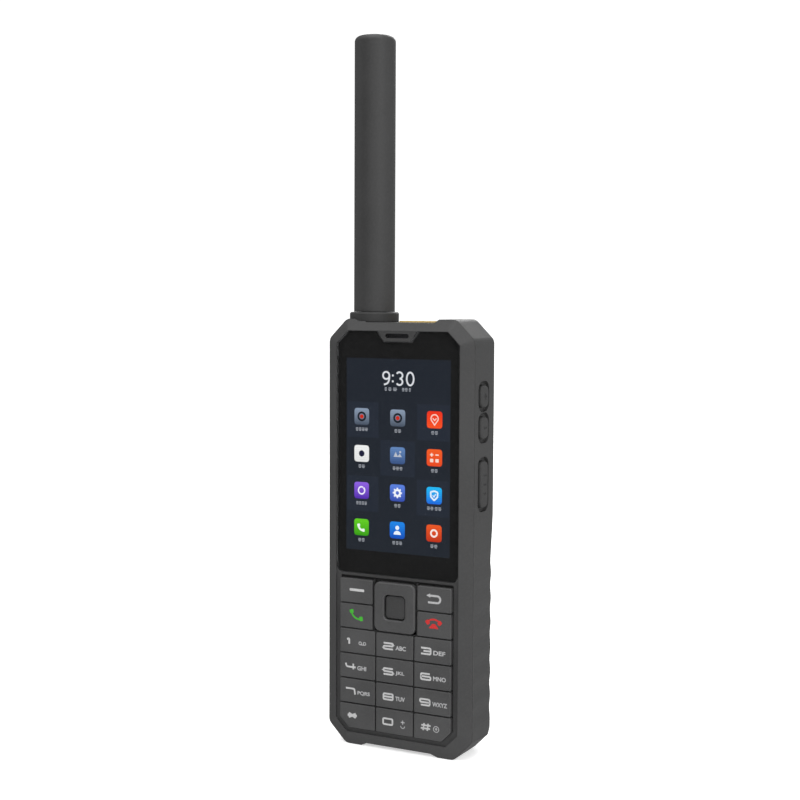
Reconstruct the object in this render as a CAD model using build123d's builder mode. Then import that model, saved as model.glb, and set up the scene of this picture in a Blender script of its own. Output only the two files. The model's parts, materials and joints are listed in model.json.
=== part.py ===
"""Rugged satellite phone: slab body, front keypad and display, detachable stick antenna.

Frame: X to the user's right, Y from the front face to the back, Z up.
The origin is the centre of the base, on the plane that the two feet stand on.
"""

from build123d import *
import math
import os

os.makedirs("parts", exist_ok=True)

# ---------------------------------------------------------------- driving sizes (mm)
body_width = 62.0
body_height = 165.7
body_depth = 26.0
half_width = body_width / 2
front = -body_depth / 2
back = body_depth / 2

facet_depth = 3.1            # the front bevel between the rim and the side walls
split = front + facet_depth  # parting plane of the two cases
rear_facet = 7.2             # depth where the rear bevel starts
outer_leg = 7.7              # 45 degree corner cuts of the body outline
outer_radius = 3.5
wall = 2.6
foot_gap = 1.3               # the base is relieved between the two feet
foot_inner = (13.8, 17.3)    # half widths of that relief, at its floor and at the feet
top_drop = 1.3               # the top is relieved between the two bumpers
bumper_inner = (14.4, 16.3)  # half widths of that relief, at its floor and at the bumpers

rim_half = 26.3
rim_bottom = 5.5
rim_top = 161.35
rim_low_leg = 4.9
rim_top_leg = 5.0

glass_half = 26.05
glass_top = 161.15
glass_bottom = 68.05
glass_leg = 4.9
glass_thickness = 1.1
glass_front = front + 0.05
glass_seat = front + 1.2
glass_gap = 0.05

display_half = 23.4
display_bottom = 75.2
display_top = 152.8
display_front = glass_front + glass_thickness + 0.2
display_back = -9.2

shelf = front + 0.6          # sunken shelf round the keys
keypad_half = 24.0
keypad_bottom = 7.55
keypad_top = 66.95
keypad_leg = 4.2

row_pitch = 9.78
rows_top = 66.2
column_line = 8.19           # gap lines between the three key columns
key_edge = 23.75
key_gap = 0.5
key_front = front - 0.9
key_back = -11.75
ring_half_width = 8.7
ring_half_height = 9.45
ring_front = front - 1.3
ring_back = -11.9
ring_clear = 0.9
ok_half_width = 4.15
ok_half_height = 4.4
ok_gap = 0.35
ok_front = ring_front + 0.95

web_front = key_front + 0.7    # ribs of the mat that stand between the keys
web_width = 0.3
mat_front = -11.1
mat_back = -10.4
dome_front = -10.25
board_front = -9.85
board_back = -9.0
frame_front = -8.9
frame_back = -8.2
main_front = -3.0
main_back = -2.0
bay_wall_front = 3.0
bay_floor = 4.6

bay_half = 24.5
bay_bottom = 12.0
bay_top = 112.5
hook_x = 13.0
contact_z = 20.0
pack_gap = 0.2

side_y = -2.0                # line of the side keys
side_key_width = 6.4
volume_z = 131.3
volume_pitch = 11.8
volume_key_height = 8.2
talk_z = 104.2
talk_key_height = 17.4
groove_margin = 1.6
groove_depth = 1.3
side_key_rise = 0.7          # how far the side keys stand out of the case
mark_depth = 0.15            # marks moulded into the side keys
mark_length = 2.4
mark_width = 0.6
mark_pitch = 3.4
side_gap = 0.15

grip_top = 91.5
grip_full = 77.5
grip_start = -8.3            # depth where the ribs are nearly at their height
# how far the grip is drawn in and how high its ribs are, at the split, at grip_start and at the back
grip_sections = [(0.05, 0.08), (0.30, 0.42), (1.88, 0.60)]
ridge_pitch = 9.45
ridge_first = 16.8
ridge_count = 7
land = 0.09                  # half of a valley's flat, as a share of the pitch
crest_start = 0.42           # where a rib's flat starts and ends, as shares of the pitch
crest_end = 0.58

sos_x = 4.0
sos_y = 0.0
sos_width = 17.0
sos_depth = 9.0
sos_top = 164.95

antenna_x = -16.3
antenna_y = -0.7
antenna_radius = 7.9
antenna_top = 273.2
antenna_bottom = 168.3
boss_top = body_height - top_drop
collar_radius = 9.5
collar_top = 168.2
collar_bottom = boss_top + 0.1
socket_radius = 6.0
socket_top = 166.4
running_gap = 0.06

port_z = 50.4
port_y = -0.4
flap_height = 32.0
flap_front = -7.0
flap_back = 4.2
pin_x = -30.1
pin_y = 5.0
pin_radius = 0.5

screw_places = [(22.8, 148.0), (21.5, 121.0), (20.0, 8.1)]
screw_radius = 1.0
head_radius = 1.9
column_radius = 2.6

pieces = []


def save(part, name):
    """Label one finished piece and write its file."""
    part.label = name
    export_step(part, f"parts/{name}.step")
    pieces.append(name)


def depth_plane(y):
    """Upright plane at depth y: sketch x is width and sketch y is height."""
    return Plane.XZ.offset(-y)


def side_plane(x):
    """Upright plane across the width at x: sketch x is depth and sketch y is height."""
    return Plane.YZ.offset(x)


def eight_sided(half, bottom, top, low_leg, top_leg):
    """Outline of a slab with cut corners, added to the open sketch."""
    Polygon(
        (half, bottom + low_leg),
        (half, top - top_leg),
        (half - top_leg, top),
        (top_leg - half, top),
        (-half, top - top_leg),
        (-half, bottom + low_leg),
        (low_leg - half, bottom),
        (half - low_leg, bottom),
        align=None,
    )


def outline_sketch(y, half, bottom, top, low_leg, top_leg, radius):
    """A softened eight-sided outline at depth y."""
    with BuildSketch(depth_plane(y)) as profile:
        eight_sided(half, bottom, top, low_leg, top_leg)
        fillet(profile.vertices(), radius)
    return profile.sketch


def body_outline(y, inset, radius):
    """The body outline drawn in by a distance that keeps every wall parallel."""
    trim = inset * (2 - math.sqrt(2))
    leg = outer_leg - trim
    return outline_sketch(y, half_width - inset, inset, body_height - inset, leg, leg, radius)


def relief_sketch(y, narrow, wide, low, high):
    """A flat-bottomed notch, wider at its mouth, at depth y."""
    with BuildSketch(depth_plane(y)) as notch:
        Polygon((-narrow, low), (narrow, low), (wide, high), (-wide, high), align=None)
    return notch.sketch


# ---------------------------------------------------------------- shared cutters
with BuildPart() as relief_cutter:
    extrude(relief_sketch(front - 1, *bumper_inner, body_height - top_drop, body_height + 0.2),
            amount=-(body_depth + 2))
    extrude(relief_sketch(front - 1, *foot_inner, foot_gap, -0.4), amount=-(body_depth + 2))


def grip_profile(y, lean, swell):
    """Region outside a ribbed side wall at depth y: lean draws it in, swell is the rib height."""
    valley = half_width - lean - swell / 2
    crest = half_width - lean + swell / 2
    points = [(half_width + 0.05, grip_top + 1.0), (half_width - 0.35 * lean, grip_top - 5.5)]
    points.append((half_width - lean, grip_full))
    for step in range(ridge_count):
        level = ridge_first + ridge_pitch * (ridge_count - 1 - step)
        points.append((valley, level + land * ridge_pitch))
        points.append((valley, level - land * ridge_pitch))
        points.append((crest, level - crest_start * ridge_pitch))
        points.append((crest, level - crest_end * ridge_pitch))
    points.append((half_width - lean, 5.0))
    outside = half_width + 4
    points.extend([(half_width - lean, -2.0), (outside, -2.0), (outside, grip_top + 1.0)])
    with BuildSketch(depth_plane(y)) as profile:
        Polygon(*points, align=None)
    return profile.sketch


with BuildPart() as grip_cutter:
    loft([grip_profile(split, *grip_sections[0]), grip_profile(grip_start, *grip_sections[1])],
         ruled=True)
    loft([grip_profile(grip_start, *grip_sections[1]), grip_profile(back + 0.5, *grip_sections[2])],
         ruled=True)

right_grip = grip_cutter.part
left_grip = mirror(right_grip, about=Plane.YZ)


def disc(plane_height, radius):
    """A round outline on the antenna axis."""
    with BuildSketch(Plane.XY.offset(plane_height)) as outline:
        with Locations((antenna_x, antenna_y)):
            Circle(radius)
    return outline.sketch


def rod(low, high, radius):
    """A round bar on the antenna axis."""
    return extrude(disc(low, radius), amount=high - low)


# ---------------------------------------------------------------- front cover
tab_points = [(-8.8, rim_top), (-5.7, 157.3), (5.7, 157.3), (8.8, rim_top)]
tab_radius = 1.8
ear_slot_z = 159.4
ear_slot_length = 10.0
ear_slot_height = 1.7


def tab_sketch(y, grow):
    """The earpiece tab that hangs into the glass, grown outwards by a clearance."""
    low_x, low_z = tab_points[2]
    high_x, high_z = tab_points[3]
    with BuildSketch(depth_plane(y)) as tab:
        Polygon((-low_x - grow, low_z - grow), (low_x + grow, low_z - grow),
                (high_x + 1.2 * grow, high_z + 1), (-high_x - 1.2 * grow, high_z + 1), align=None)
        fillet(tab.vertices().group_by(Axis.Y)[0], tab_radius)
    return tab.sketch


def glass_sketch(y, grow):
    """The cover glass outline without its earpiece notch, grown outwards by a clearance."""
    half = glass_half + grow
    top = glass_top + grow
    with BuildSketch(depth_plane(y)) as sheet:
        Polygon((half, glass_bottom - grow), (half, top - glass_leg), (half - glass_leg, top),
                (glass_leg - half, top), (-half, top - glass_leg), (-half, glass_bottom - grow),
                align=None)
        fillet(sheet.vertices().group_by(Axis.Y)[0], 3.0)
    return sheet.sketch


def glass_block(y, thickness, grow, tab_grow):
    """The glass, or the seat that it lies in, with the notch for the earpiece tab."""
    with BuildPart() as block:
        extrude(glass_sketch(y, grow), amount=-thickness)
        extrude(tab_sketch(y, tab_grow), amount=-thickness, mode=Mode.SUBTRACT)
    return block.part


seat_cutter = glass_block(front, glass_seat - front, glass_gap, 0)

with BuildPart() as front_cover:
    loft([body_outline(split, 0, outer_radius),
          outline_sketch(front, rim_half, rim_bottom, rim_top, rim_low_leg, rim_top_leg, 1.0)],
         ruled=True)
    # sunken shelf round the keys, then the deeper seat of the glass
    with BuildSketch(depth_plane(front)):
        Polygon(
            (rim_half - 0.2, rim_bottom + 0.2 + rim_low_leg),
            (rim_half - 0.2, glass_bottom + 4),
            (0.2 - rim_half, glass_bottom + 4),
            (0.2 - rim_half, rim_bottom + 0.2 + rim_low_leg),
            (rim_low_leg + 0.2 - rim_half, rim_bottom + 0.2),
            (rim_half - 0.2 - rim_low_leg, rim_bottom + 0.2),
            align=None,
        )
    extrude(amount=-(shelf - front), mode=Mode.SUBTRACT)
    add(seat_cutter, mode=Mode.SUBTRACT)
    # window that the display looks through
    with BuildSketch(depth_plane(front)):
        with Locations((0, (display_bottom + display_top) / 2)):
            Rectangle(2 * display_half + 0.3, display_top - display_bottom + 0.3)
    extrude(amount=-facet_depth, mode=Mode.SUBTRACT)
    # mouth of the keypad
    with BuildSketch(depth_plane(front)):
        Polygon((keypad_half, keypad_bottom + keypad_leg), (keypad_half, keypad_top),
                (-keypad_half, keypad_top), (-keypad_half, keypad_bottom + keypad_leg),
                (keypad_leg - keypad_half, keypad_bottom),
                (keypad_half - keypad_leg, keypad_bottom), align=None)
    extrude(amount=-facet_depth, mode=Mode.SUBTRACT)
    # earpiece slot
    with BuildSketch(depth_plane(front)):
        with Locations((0, ear_slot_z)):
            SlotOverall(ear_slot_length, ear_slot_height)
    extrude(amount=-facet_depth, mode=Mode.SUBTRACT)
    # locating lip that enters the rear case
    extrude(body_outline(split, wall + 0.1, 2.0), amount=-1.1)
    extrude(body_outline(split, wall + 1.2, 2.0), amount=-1.1, mode=Mode.SUBTRACT)
    add(relief_cutter.part, mode=Mode.SUBTRACT)
    extrude(disc(boss_top, collar_radius + 0.3), amount=3, mode=Mode.SUBTRACT)
save(front_cover.part, "front_cover")

with BuildPart() as earpiece_mesh:
    with BuildSketch(depth_plane(front + 1.0)):
        with Locations((0, ear_slot_z)):
            SlotOverall(ear_slot_length - 0.04, ear_slot_height - 0.04)
    extrude(amount=-0.3)
    with BuildSketch(depth_plane(front + 1.0)):
        with Locations((0, ear_slot_z)):
            with GridLocations(0.75, 0.55, 12, 2):
                Circle(0.18)
    extrude(amount=-0.3, mode=Mode.SUBTRACT)
save(earpiece_mesh.part, "earpiece_mesh")

with BuildPart() as cover_glass:
    add(glass_block(glass_front, glass_thickness, 0, glass_gap))
    chamfer(cover_glass.faces().sort_by(Axis.Y)[0].edges(), 0.12)
save(cover_glass.part, "cover_glass")

with BuildPart() as display_module:
    with BuildSketch(depth_plane(display_front)):
        with Locations((0, (display_bottom + display_top) / 2)):
            RectangleRounded(2 * display_half, display_top - display_bottom, 0.8)
    extrude(amount=-(display_back - display_front))
save(display_module.part, "display_module")

# ---------------------------------------------------------------- keypad
rows = [rows_top - row_pitch * (step + 0.5) for step in range(6)]
digit_half = (key_edge - column_line - key_gap / 2) / 2
digit_x = key_edge - digit_half
centre_half = column_line - key_gap / 2
key_half_height = (row_pitch - key_gap) / 2
side_inner = ring_half_width + ring_clear
side_half = (key_edge - side_inner) / 2
side_x = key_edge - side_half
ring_z = rows_top - row_pitch


def key_cap(x, z, half, corner_side=0):
    """A key cap with a short plunger; corner_side says which low outer corner is cut."""
    with BuildPart() as cap:
        with BuildSketch(depth_plane(key_front)) as face:
            with Locations((x, z)):
                Rectangle(2 * half, 2 * key_half_height)
            if corner_side:
                low = face.vertices().group_by(Axis.Y)[0].sort_by(Axis.X)
                cut = low[-1] if corner_side > 0 else low[0]
                chamfer(cut, keypad_leg - 0.4)
            fillet(face.vertices(), 0.55)
        extrude(amount=-(key_back - key_front))
        chamfer(cap.faces().sort_by(Axis.Y)[0].edges(), 0.22)
        with BuildSketch(depth_plane(key_back)):
            with Locations((x, z)):
                Circle(1.2)
        extrude(amount=-0.8)
    return cap.part


digit_names = ["key_1", "key_2", "key_3", "key_4", "key_5", "key_6",
               "key_7", "key_8", "key_9", "key_star", "key_0", "key_hash"]
key_places = []
for number, name in enumerate(digit_names):
    column = number % 3 - 1
    row = number // 3 + 2
    half = centre_half if column == 0 else digit_half
    place = (column * digit_x, rows[row])
    key_places.append(place)
    save(key_cap(*place, half, column if row == 5 else 0), name)

side_keys = [("soft_key", -side_x, rows[0]), ("back_key", side_x, rows[0]),
             ("call_key", -side_x, rows[1]), ("end_key", side_x, rows[1])]
for name, x, z in side_keys:
    key_places.append((x, z))
    save(key_cap(x, z, side_half), name)

with BuildPart() as nav_ring:
    with BuildSketch(depth_plane(ring_front)):
        with Locations((0, ring_z)):
            RectangleRounded(2 * ring_half_width, 2 * ring_half_height, 2.3)
    extrude(amount=-(ring_back - ring_front))
    chamfer(nav_ring.faces().sort_by(Axis.Y)[0].edges(), 0.45)
    with BuildSketch(depth_plane(ring_front)):
        with Locations((0, ring_z)):
            RectangleRounded(2 * (ok_half_width + ok_gap), 2 * (ok_half_height + ok_gap), 1.7)
    extrude(amount=-(ring_back - ring_front), mode=Mode.SUBTRACT)
    hole_edges = nav_ring.faces().sort_by(Axis.Y)[0].inner_wires()[0].edges()
    chamfer(hole_edges, 0.4)
    ring_plungers = [(0, ring_z + 7.0), (0, ring_z - 7.0), (-6.5, ring_z), (6.5, ring_z)]
    with BuildSketch(depth_plane(ring_back)):
        with Locations(*ring_plungers):
            Circle(1.0)
    extrude(amount=-0.9)
save(nav_ring.part, "nav_ring")
key_places.extend(ring_plungers)

with BuildPart() as ok_key:
    with BuildSketch(depth_plane(ok_front)):
        with Locations((0, ring_z)):
            RectangleRounded(2 * ok_half_width, 2 * ok_half_height, 1.4)
    extrude(amount=-(key_back - ok_front))
    chamfer(ok_key.faces().sort_by(Axis.Y)[0].edges(), 0.3)
    with BuildSketch(depth_plane(key_back)):
        with Locations((0, ring_z)):
            Circle(1.2)
    extrude(amount=-0.8)
save(ok_key.part, "ok_key")
key_places.append((0, ring_z))

web_rows = [rows_top - row_pitch * step for step in (2, 3, 4, 5)]
column_web_low = keypad_bottom + 0.5
ring_web_x = (ring_half_width + side_inner) / 2 + 0.05
ring_web_top = keypad_top - 0.4

with BuildPart() as keypad_mat:
    # ribs between the keys, clear of the keys' sides
    with BuildSketch(depth_plane(web_front)):
        for z in web_rows:
            with Locations((0, z)):
                Rectangle(2 * key_edge, web_width)
        for side in (-1, 1):
            with Locations((side * column_line, (column_web_low + web_rows[0]) / 2)):
                Rectangle(web_width, web_rows[0] - column_web_low)
            with Locations((side * ring_web_x, (web_rows[0] + ring_web_top) / 2)):
                Rectangle(web_width, ring_web_top - web_rows[0])
            with Locations((side * (key_edge + ring_web_x) / 2, rows_top - row_pitch)):
                Rectangle(key_edge - ring_web_x, web_width)
    extrude(amount=-(mat_front - web_front))
    with BuildSketch(depth_plane(mat_front)):
        Polygon((keypad_half - 0.15, keypad_bottom + keypad_leg + 0.1),
                (keypad_half - 0.15, keypad_top - 0.15), (0.15 - keypad_half, keypad_top - 0.15),
                (0.15 - keypad_half, keypad_bottom + keypad_leg + 0.1),
                (keypad_leg + 0.1 - keypad_half, keypad_bottom + 0.15),
                (keypad_half - 0.1 - keypad_leg, keypad_bottom + 0.15), align=None)
    extrude(amount=-(mat_back - mat_front))
    with BuildSketch(depth_plane(mat_front)):
        with Locations(*key_places):
            Circle(1.7)
    extrude(amount=-(mat_back - mat_front), mode=Mode.SUBTRACT)
save(keypad_mat.part, "keypad_mat")

with BuildPart() as key_domes:
    with BuildSketch(depth_plane(board_front)):
        with Locations(*key_places):
            Circle(1.6)
    extrude(amount=board_front - dome_front)
    chamfer(key_domes.faces().filter_by(Axis.Y).group_by(Axis.Y)[0].edges(), 0.2)
save(key_domes.part, "key_domes")

with BuildPart() as keypad_board:
    extrude(outline_sketch(board_front, 26.4, 5.0, 72.5, 5.5, 1.0, 0.6),
            amount=-(board_back - board_front))
save(keypad_board.part, "keypad_board")

# ---------------------------------------------------------------- rear case
seal_inset = 1.5
seal_width = 0.7
seal_depth = 0.8
column_end = -3.2
deep_half = 25.2
deep_bottom = 129.5
deep_top = 157.0
deep_back = 10.8
camera_x = 14.5
camera_z = 151.5
window_radius = 4.2
torch_x = 2.0
torch_radius = 2.2
speaker_x = 12.0
speaker_z = 137.2
microphone_x = 6.0
microphone_y = -4.5
latch_half = 8.5
latch_bottom = 113.2
latch_top = 121.5
latch_front = 9.6
latch_travel = 2.6
tongue_half = 5.0
pocket_floor = -29.2
side_key_places = [("volume_up_key", volume_z + volume_pitch / 2, volume_key_height),
                   ("volume_down_key", volume_z - volume_pitch / 2, volume_key_height),
                   ("ptt_key", talk_z, talk_key_height)]


def side_key_sketch(x, z, height, grow):
    """Outline of a side key at width x, grown outwards by a clearance."""
    with BuildSketch(side_plane(x)) as outline:
        with Locations((side_y, z)):
            RectangleRounded(side_key_width + 2 * grow, height + 2 * grow, 2.4 + 0.6 * grow)
    return outline.sketch


def top_key_sketch(z, grow):
    """Outline of the emergency key at height z, grown outwards by a clearance."""
    with BuildSketch(Plane.XY.offset(z)) as outline:
        with Locations((sos_x, sos_y)):
            RectangleRounded(sos_width + 2 * grow, sos_depth + 2 * grow, 2.5 + grow)
    return outline.sketch


all_screws = [(side * x, z) for x, z in screw_places for side in (-1, 1)]

with BuildPart() as rear_case:
    extrude(body_outline(split, 0, outer_radius), amount=-(rear_facet - split))
    loft([body_outline(rear_facet, 0, outer_radius), body_outline(back, 4.5, 2.0)], ruled=True)
    # seat of the antenna collar
    extrude(disc(boss_top - 8, antenna_y - split - 0.1), amount=8)
    add(right_grip, mode=Mode.SUBTRACT)
    add(left_grip, mode=Mode.SUBTRACT)
    add(relief_cutter.part, mode=Mode.SUBTRACT)
    extrude(disc(boss_top, collar_radius + 0.3), amount=3, mode=Mode.SUBTRACT)
    # electronics cavity, with a deeper part behind the camera and loudspeaker
    extrude(body_outline(split, wall, 2.0), amount=-(bay_wall_front - split), mode=Mode.SUBTRACT)
    with BuildSketch(depth_plane(0)):
        with Locations((0, (deep_bottom + deep_top) / 2)):
            Rectangle(2 * deep_half, deep_top - deep_bottom)
    extrude(amount=-deep_back, mode=Mode.SUBTRACT)
    extrude(disc(150, socket_radius + 2.2), amount=body_height - wall - 150, mode=Mode.SUBTRACT)
    extrude(disc(150, socket_radius + 0.05), amount=20, mode=Mode.SUBTRACT)
    # battery bay with two hook slots
    with BuildSketch(depth_plane(bay_floor)):
        with Locations((0, (bay_bottom + bay_top) / 2)):
            Rectangle(2 * bay_half, bay_top - bay_bottom)
    extrude(amount=-(back - bay_floor + 1), mode=Mode.SUBTRACT)
    with BuildSketch(depth_plane(bay_floor + 0.4)):
        with Locations((-hook_x, bay_bottom - 0.5), (hook_x, bay_bottom - 0.5)):
            Rectangle(6.4, 1.8)
    extrude(amount=-1.8, mode=Mode.SUBTRACT)
    # window for the battery contacts
    with BuildSketch(depth_plane(bay_wall_front - 1)):
        with Locations((0, contact_z)):
            Rectangle(12.6, 4.6)
    extrude(amount=-3, mode=Mode.SUBTRACT)
    # latch pocket and its guide grooves
    with BuildSketch(depth_plane(latch_front - 0.1)):
        with Locations((0, (bay_top + latch_top + latch_travel) / 2)):
            Rectangle(2 * latch_half + 0.4, latch_top + latch_travel + 0.6 - bay_top)
    extrude(amount=-5, mode=Mode.SUBTRACT)
    with BuildSketch(depth_plane(latch_front - 0.1)):
        with Locations((0, (bay_top + latch_top + latch_travel) / 2)):
            Rectangle(2 * latch_half + 2.6, latch_top + latch_travel + 0.6 - bay_top)
    extrude(amount=-1.3, mode=Mode.SUBTRACT)
    # screw columns
    with BuildSketch(depth_plane(column_end)):
        with Locations(*all_screws):
            Circle(column_radius)
    extrude(amount=-(bay_wall_front - column_end))
    with BuildSketch(depth_plane(0)):
        with Locations(*all_screws[:2]):
            Circle(column_radius)
    extrude(amount=-(deep_back + 0.5))
    with BuildSketch(depth_plane(column_end - 1)):
        with Locations(*all_screws):
            Circle(screw_radius + 0.1)
    extrude(amount=-20, mode=Mode.SUBTRACT)
    with BuildSketch(depth_plane(back - 1.6)):
        with Locations(*all_screws):
            Circle(head_radius + 0.1)
    extrude(amount=-2, mode=Mode.SUBTRACT)
    # camera window, torch and loudspeaker grille
    with BuildSketch(depth_plane(deep_back - 0.5)):
        with Locations((camera_x, camera_z)):
            Circle(3.3)
        with Locations((torch_x, camera_z)):
            Circle(torch_radius + 0.03)
        with Locations((speaker_x, speaker_z)):
            with GridLocations(1, 2.1, 1, 5):
                SlotOverall(13, 1.1)
    extrude(amount=-3, mode=Mode.SUBTRACT)
    with BuildSketch(depth_plane(back - 1.1)):
        with Locations((camera_x, camera_z)):
            Circle(window_radius + 0.05)
    extrude(amount=-2, mode=Mode.SUBTRACT)
    # grooves and openings of the side keys
    for name, z, height in side_key_places:
        extrude(side_key_sketch(half_width - groove_depth, z, height, groove_margin),
                amount=groove_depth + 1, mode=Mode.SUBTRACT)
        extrude(side_key_sketch(half_width - wall - 1, z, height, side_gap),
                amount=wall + 1, mode=Mode.SUBTRACT)
    # emergency key opening and microphone port
    extrude(top_key_sketch(body_height - wall - 1, side_gap), amount=wall + 2, mode=Mode.SUBTRACT)
    extrude(top_key_sketch(body_height - wall - 2, 1.0), amount=2, mode=Mode.SUBTRACT)
    with BuildSketch(Plane.XY.offset(-1)):
        with Locations((microphone_x, microphone_y)):
            Circle(0.5)
    extrude(amount=wall + 2, mode=Mode.SUBTRACT)
    # charging port: pocket for the flap, hinge channel and plug opening
    with BuildSketch(side_plane(pocket_floor)):
        with Locations(((flap_front + pin_y + 1.2) / 2 - 0.05, port_z)):
            Rectangle(pin_y + 1.2 - flap_front + 0.1, flap_height + 0.2)
    extrude(amount=-4, mode=Mode.SUBTRACT)
    with BuildSketch(side_plane(-half_width)):
        with Locations((port_y, port_z)):
            RectangleRounded(3.5, 9.2, 1.6)
    extrude(amount=4, mode=Mode.SUBTRACT)
    with BuildSketch(Plane.XY.offset(port_z - flap_height / 2 - 1.6)):
        with Locations((pin_x, pin_y)):
            Circle(pin_radius)
    extrude(amount=flap_height + 3.2, mode=Mode.SUBTRACT)
    # seal groove
    extrude(body_outline(split, seal_inset, 2.6), amount=-seal_depth, mode=Mode.SUBTRACT)
    extrude(body_outline(split, seal_inset + seal_width, 2.3), amount=-seal_depth)
    extrude(body_outline(split, wall, 2.0), amount=-seal_depth, mode=Mode.SUBTRACT)
save(rear_case.part, "rear_case")

with BuildPart() as case_seal:
    extrude(body_outline(split, seal_inset + 0.03, 2.6), amount=-(seal_depth - 0.02))
    extrude(body_outline(split, seal_inset + seal_width - 0.03, 2.3), amount=-seal_depth,
            mode=Mode.SUBTRACT)
save(case_seal.part, "case_seal")

with BuildPart() as case_screws:
    with BuildSketch(depth_plane(back - 1.5)):
        with Locations(*all_screws):
            Circle(head_radius)
    extrude(amount=-1.3)
    chamfer(case_screws.faces().filter_by(Axis.Y).group_by(Axis.Y)[-1].edges(), 0.2)
    with BuildSketch(depth_plane(-6.5)):
        with Locations(*all_screws):
            Circle(screw_radius)
    extrude(amount=-(back - 1.5 + 6.5))
    with BuildSketch(depth_plane(back - 0.9)):
        with Locations(*all_screws):
            RegularPolygon(0.95, 6)
    extrude(amount=-1, mode=Mode.SUBTRACT)
save(case_screws.part, "case_screws")

# ---------------------------------------------------------------- frame and boards
with BuildPart() as mid_frame:
    extrude(outline_sketch(frame_front, 26.8, 4.6, 154.5, 5.8, 1.0, 0.8),
            amount=-(frame_back - frame_front))
    with BuildSketch(depth_plane(frame_front)):
        with Locations(*all_screws):
            Circle(2.3)
    extrude(amount=-(column_end - 0.2 - frame_front))
    with BuildSketch(depth_plane(frame_front)):
        with Locations(*all_screws):
            Circle(screw_radius)
    extrude(amount=-8, mode=Mode.SUBTRACT)
    with BuildSketch(depth_plane(frame_front)):
        with Locations((0, 120)):
            SlotOverall(22, 6)
    extrude(amount=-1, mode=Mode.SUBTRACT)
save(mid_frame.part, "mid_frame")

board_half = 24.0
board_bottom = 11.0
board_top = 159.5
with BuildPart() as main_board:
    # a side-push switch at the top edge lies under the emergency key
    with BuildSketch(Plane.XY.offset(board_top)):
        with Locations((sos_x, (main_front + main_back) / 2)):
            Rectangle(4, 1.0)
    extrude(amount=1.7)
    with BuildSketch(depth_plane(main_front)):
        Polygon((board_half, board_bottom), (board_half, board_top - 6), (board_half - 6, board_top),
                (-6, board_top), (-6, 149), (-board_half, 149), (-board_half, board_bottom),
                align=None)
        with Locations(*all_screws):
            Circle(column_radius + 0.3, mode=Mode.SUBTRACT)
    extrude(amount=-(main_back - main_front))
save(main_board.part, "main_board")


def board_block(face, x, z, width, height, thick, radius):
    """A component on the main board; thick is negative on the display side."""
    with BuildSketch(depth_plane(face)) as foot:
        with Locations((x, z)):
            RectangleRounded(width, height, radius)
    return extrude(foot.sketch, amount=-thick)


with BuildPart() as shield_cans:
    for x, z, width, height in [(-11, 84, 20, 26), (11, 92, 18, 32), (-8.5, 124, 18, 20)]:
        add(board_block(main_front, x, z, width, height, -1.8, 0.8))
        add(board_block(main_front, x, z, width - 0.5, height - 0.5, -1.55, 0.6),
            mode=Mode.SUBTRACT)
save(shield_cans.part, "shield_cans")

with BuildPart() as satellite_module:
    add(board_block(main_back, 0, 84, 38, 42, 2.6, 1.2))
    chamfer(satellite_module.faces().sort_by(Axis.Y)[-1].edges(), 0.4)
save(satellite_module.part, "satellite_module")

with BuildPart() as gps_patch:
    add(board_block(main_back, -13, 137.5, 14, 14, 3.6, 0.5))
    add(board_block(main_back + 3.6, -13, 137.5, 11, 11, 0.3, 0.4))
save(gps_patch.part, "gps_patch")

with BuildPart() as sim_holder:
    add(board_block(main_back, 10, 36, 15, 14, 1.4, 0.4))
    add(board_block(main_back + 0.5, 10, 38, 12.4, 12, 0.8, 0.2), mode=Mode.SUBTRACT)
save(sim_holder.part, "sim_holder")

with BuildPart() as microphone:
    add(board_block(main_front, microphone_x, 13.2, 3.8, 3.0, -1.1, 0.2))
save(microphone.part, "microphone")

with BuildPart() as battery_contacts:
    add(board_block(main_back, 0, contact_z, 12, 4, 5.8, 0.4))
    with BuildSketch(depth_plane(main_back + 5.8)):
        with Locations((0, contact_z)):
            with GridLocations(3, 1, 4, 1):
                Circle(0.55)
    extrude(amount=-0.98)
save(battery_contacts.part, "battery_contacts")

with BuildPart() as earpiece:
    with BuildSketch(depth_plane(split + 0.1)):
        with Locations((0, 159.0)):
            RectangleRounded(12.4, 5.0, 1.2)
    extrude(amount=-2.5)
save(earpiece.part, "earpiece")

with BuildPart() as loudspeaker:
    with BuildSketch(depth_plane(5.6)):
        with Locations((speaker_x, speaker_z)):
            RectangleRounded(18, 11.4, 1.6)
    extrude(amount=-(deep_back - 5.7))
    with BuildSketch(depth_plane(deep_back - 0.9)):
        with Locations((speaker_x, speaker_z)):
            RectangleRounded(15.4, 8.8, 2.4)
    extrude(amount=-1, mode=Mode.SUBTRACT)
save(loudspeaker.part, "loudspeaker")

with BuildPart() as rear_camera:
    add(board_block(main_back + 0.1, camera_x, camera_z, 9, 9, 8.4, 0.5))
    with BuildSketch(depth_plane(6.0)):
        with Locations((camera_x, camera_z)):
            Circle(3.1)
    extrude(amount=-5.4)
    with BuildSketch(depth_plane(10.6)):
        with Locations((camera_x, camera_z)):
            Circle(1.6)
    extrude(amount=-2, mode=Mode.SUBTRACT)
save(rear_camera.part, "rear_camera")

with BuildPart() as camera_window:
    with BuildSketch(depth_plane(back - 1.05)):
        with Locations((camera_x, camera_z)):
            Circle(window_radius)
    extrude(amount=-1.0)
    chamfer(camera_window.faces().sort_by(Axis.Y)[-1].edges(), 0.12)
save(camera_window.part, "camera_window")

with BuildPart() as torch_lens:
    with BuildSketch(depth_plane(9.6)):
        with Locations((torch_x, camera_z)):
            Circle(torch_radius)
    extrude(amount=-(back - 0.15 - 9.6))
    chamfer(torch_lens.faces().sort_by(Axis.Y)[-1].edges(), 0.25)
save(torch_lens.part, "torch_lens")

motor_x = -14.0
motor_y = 0.45
motor_bottom = 20.0
motor_length = 11.0


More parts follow.
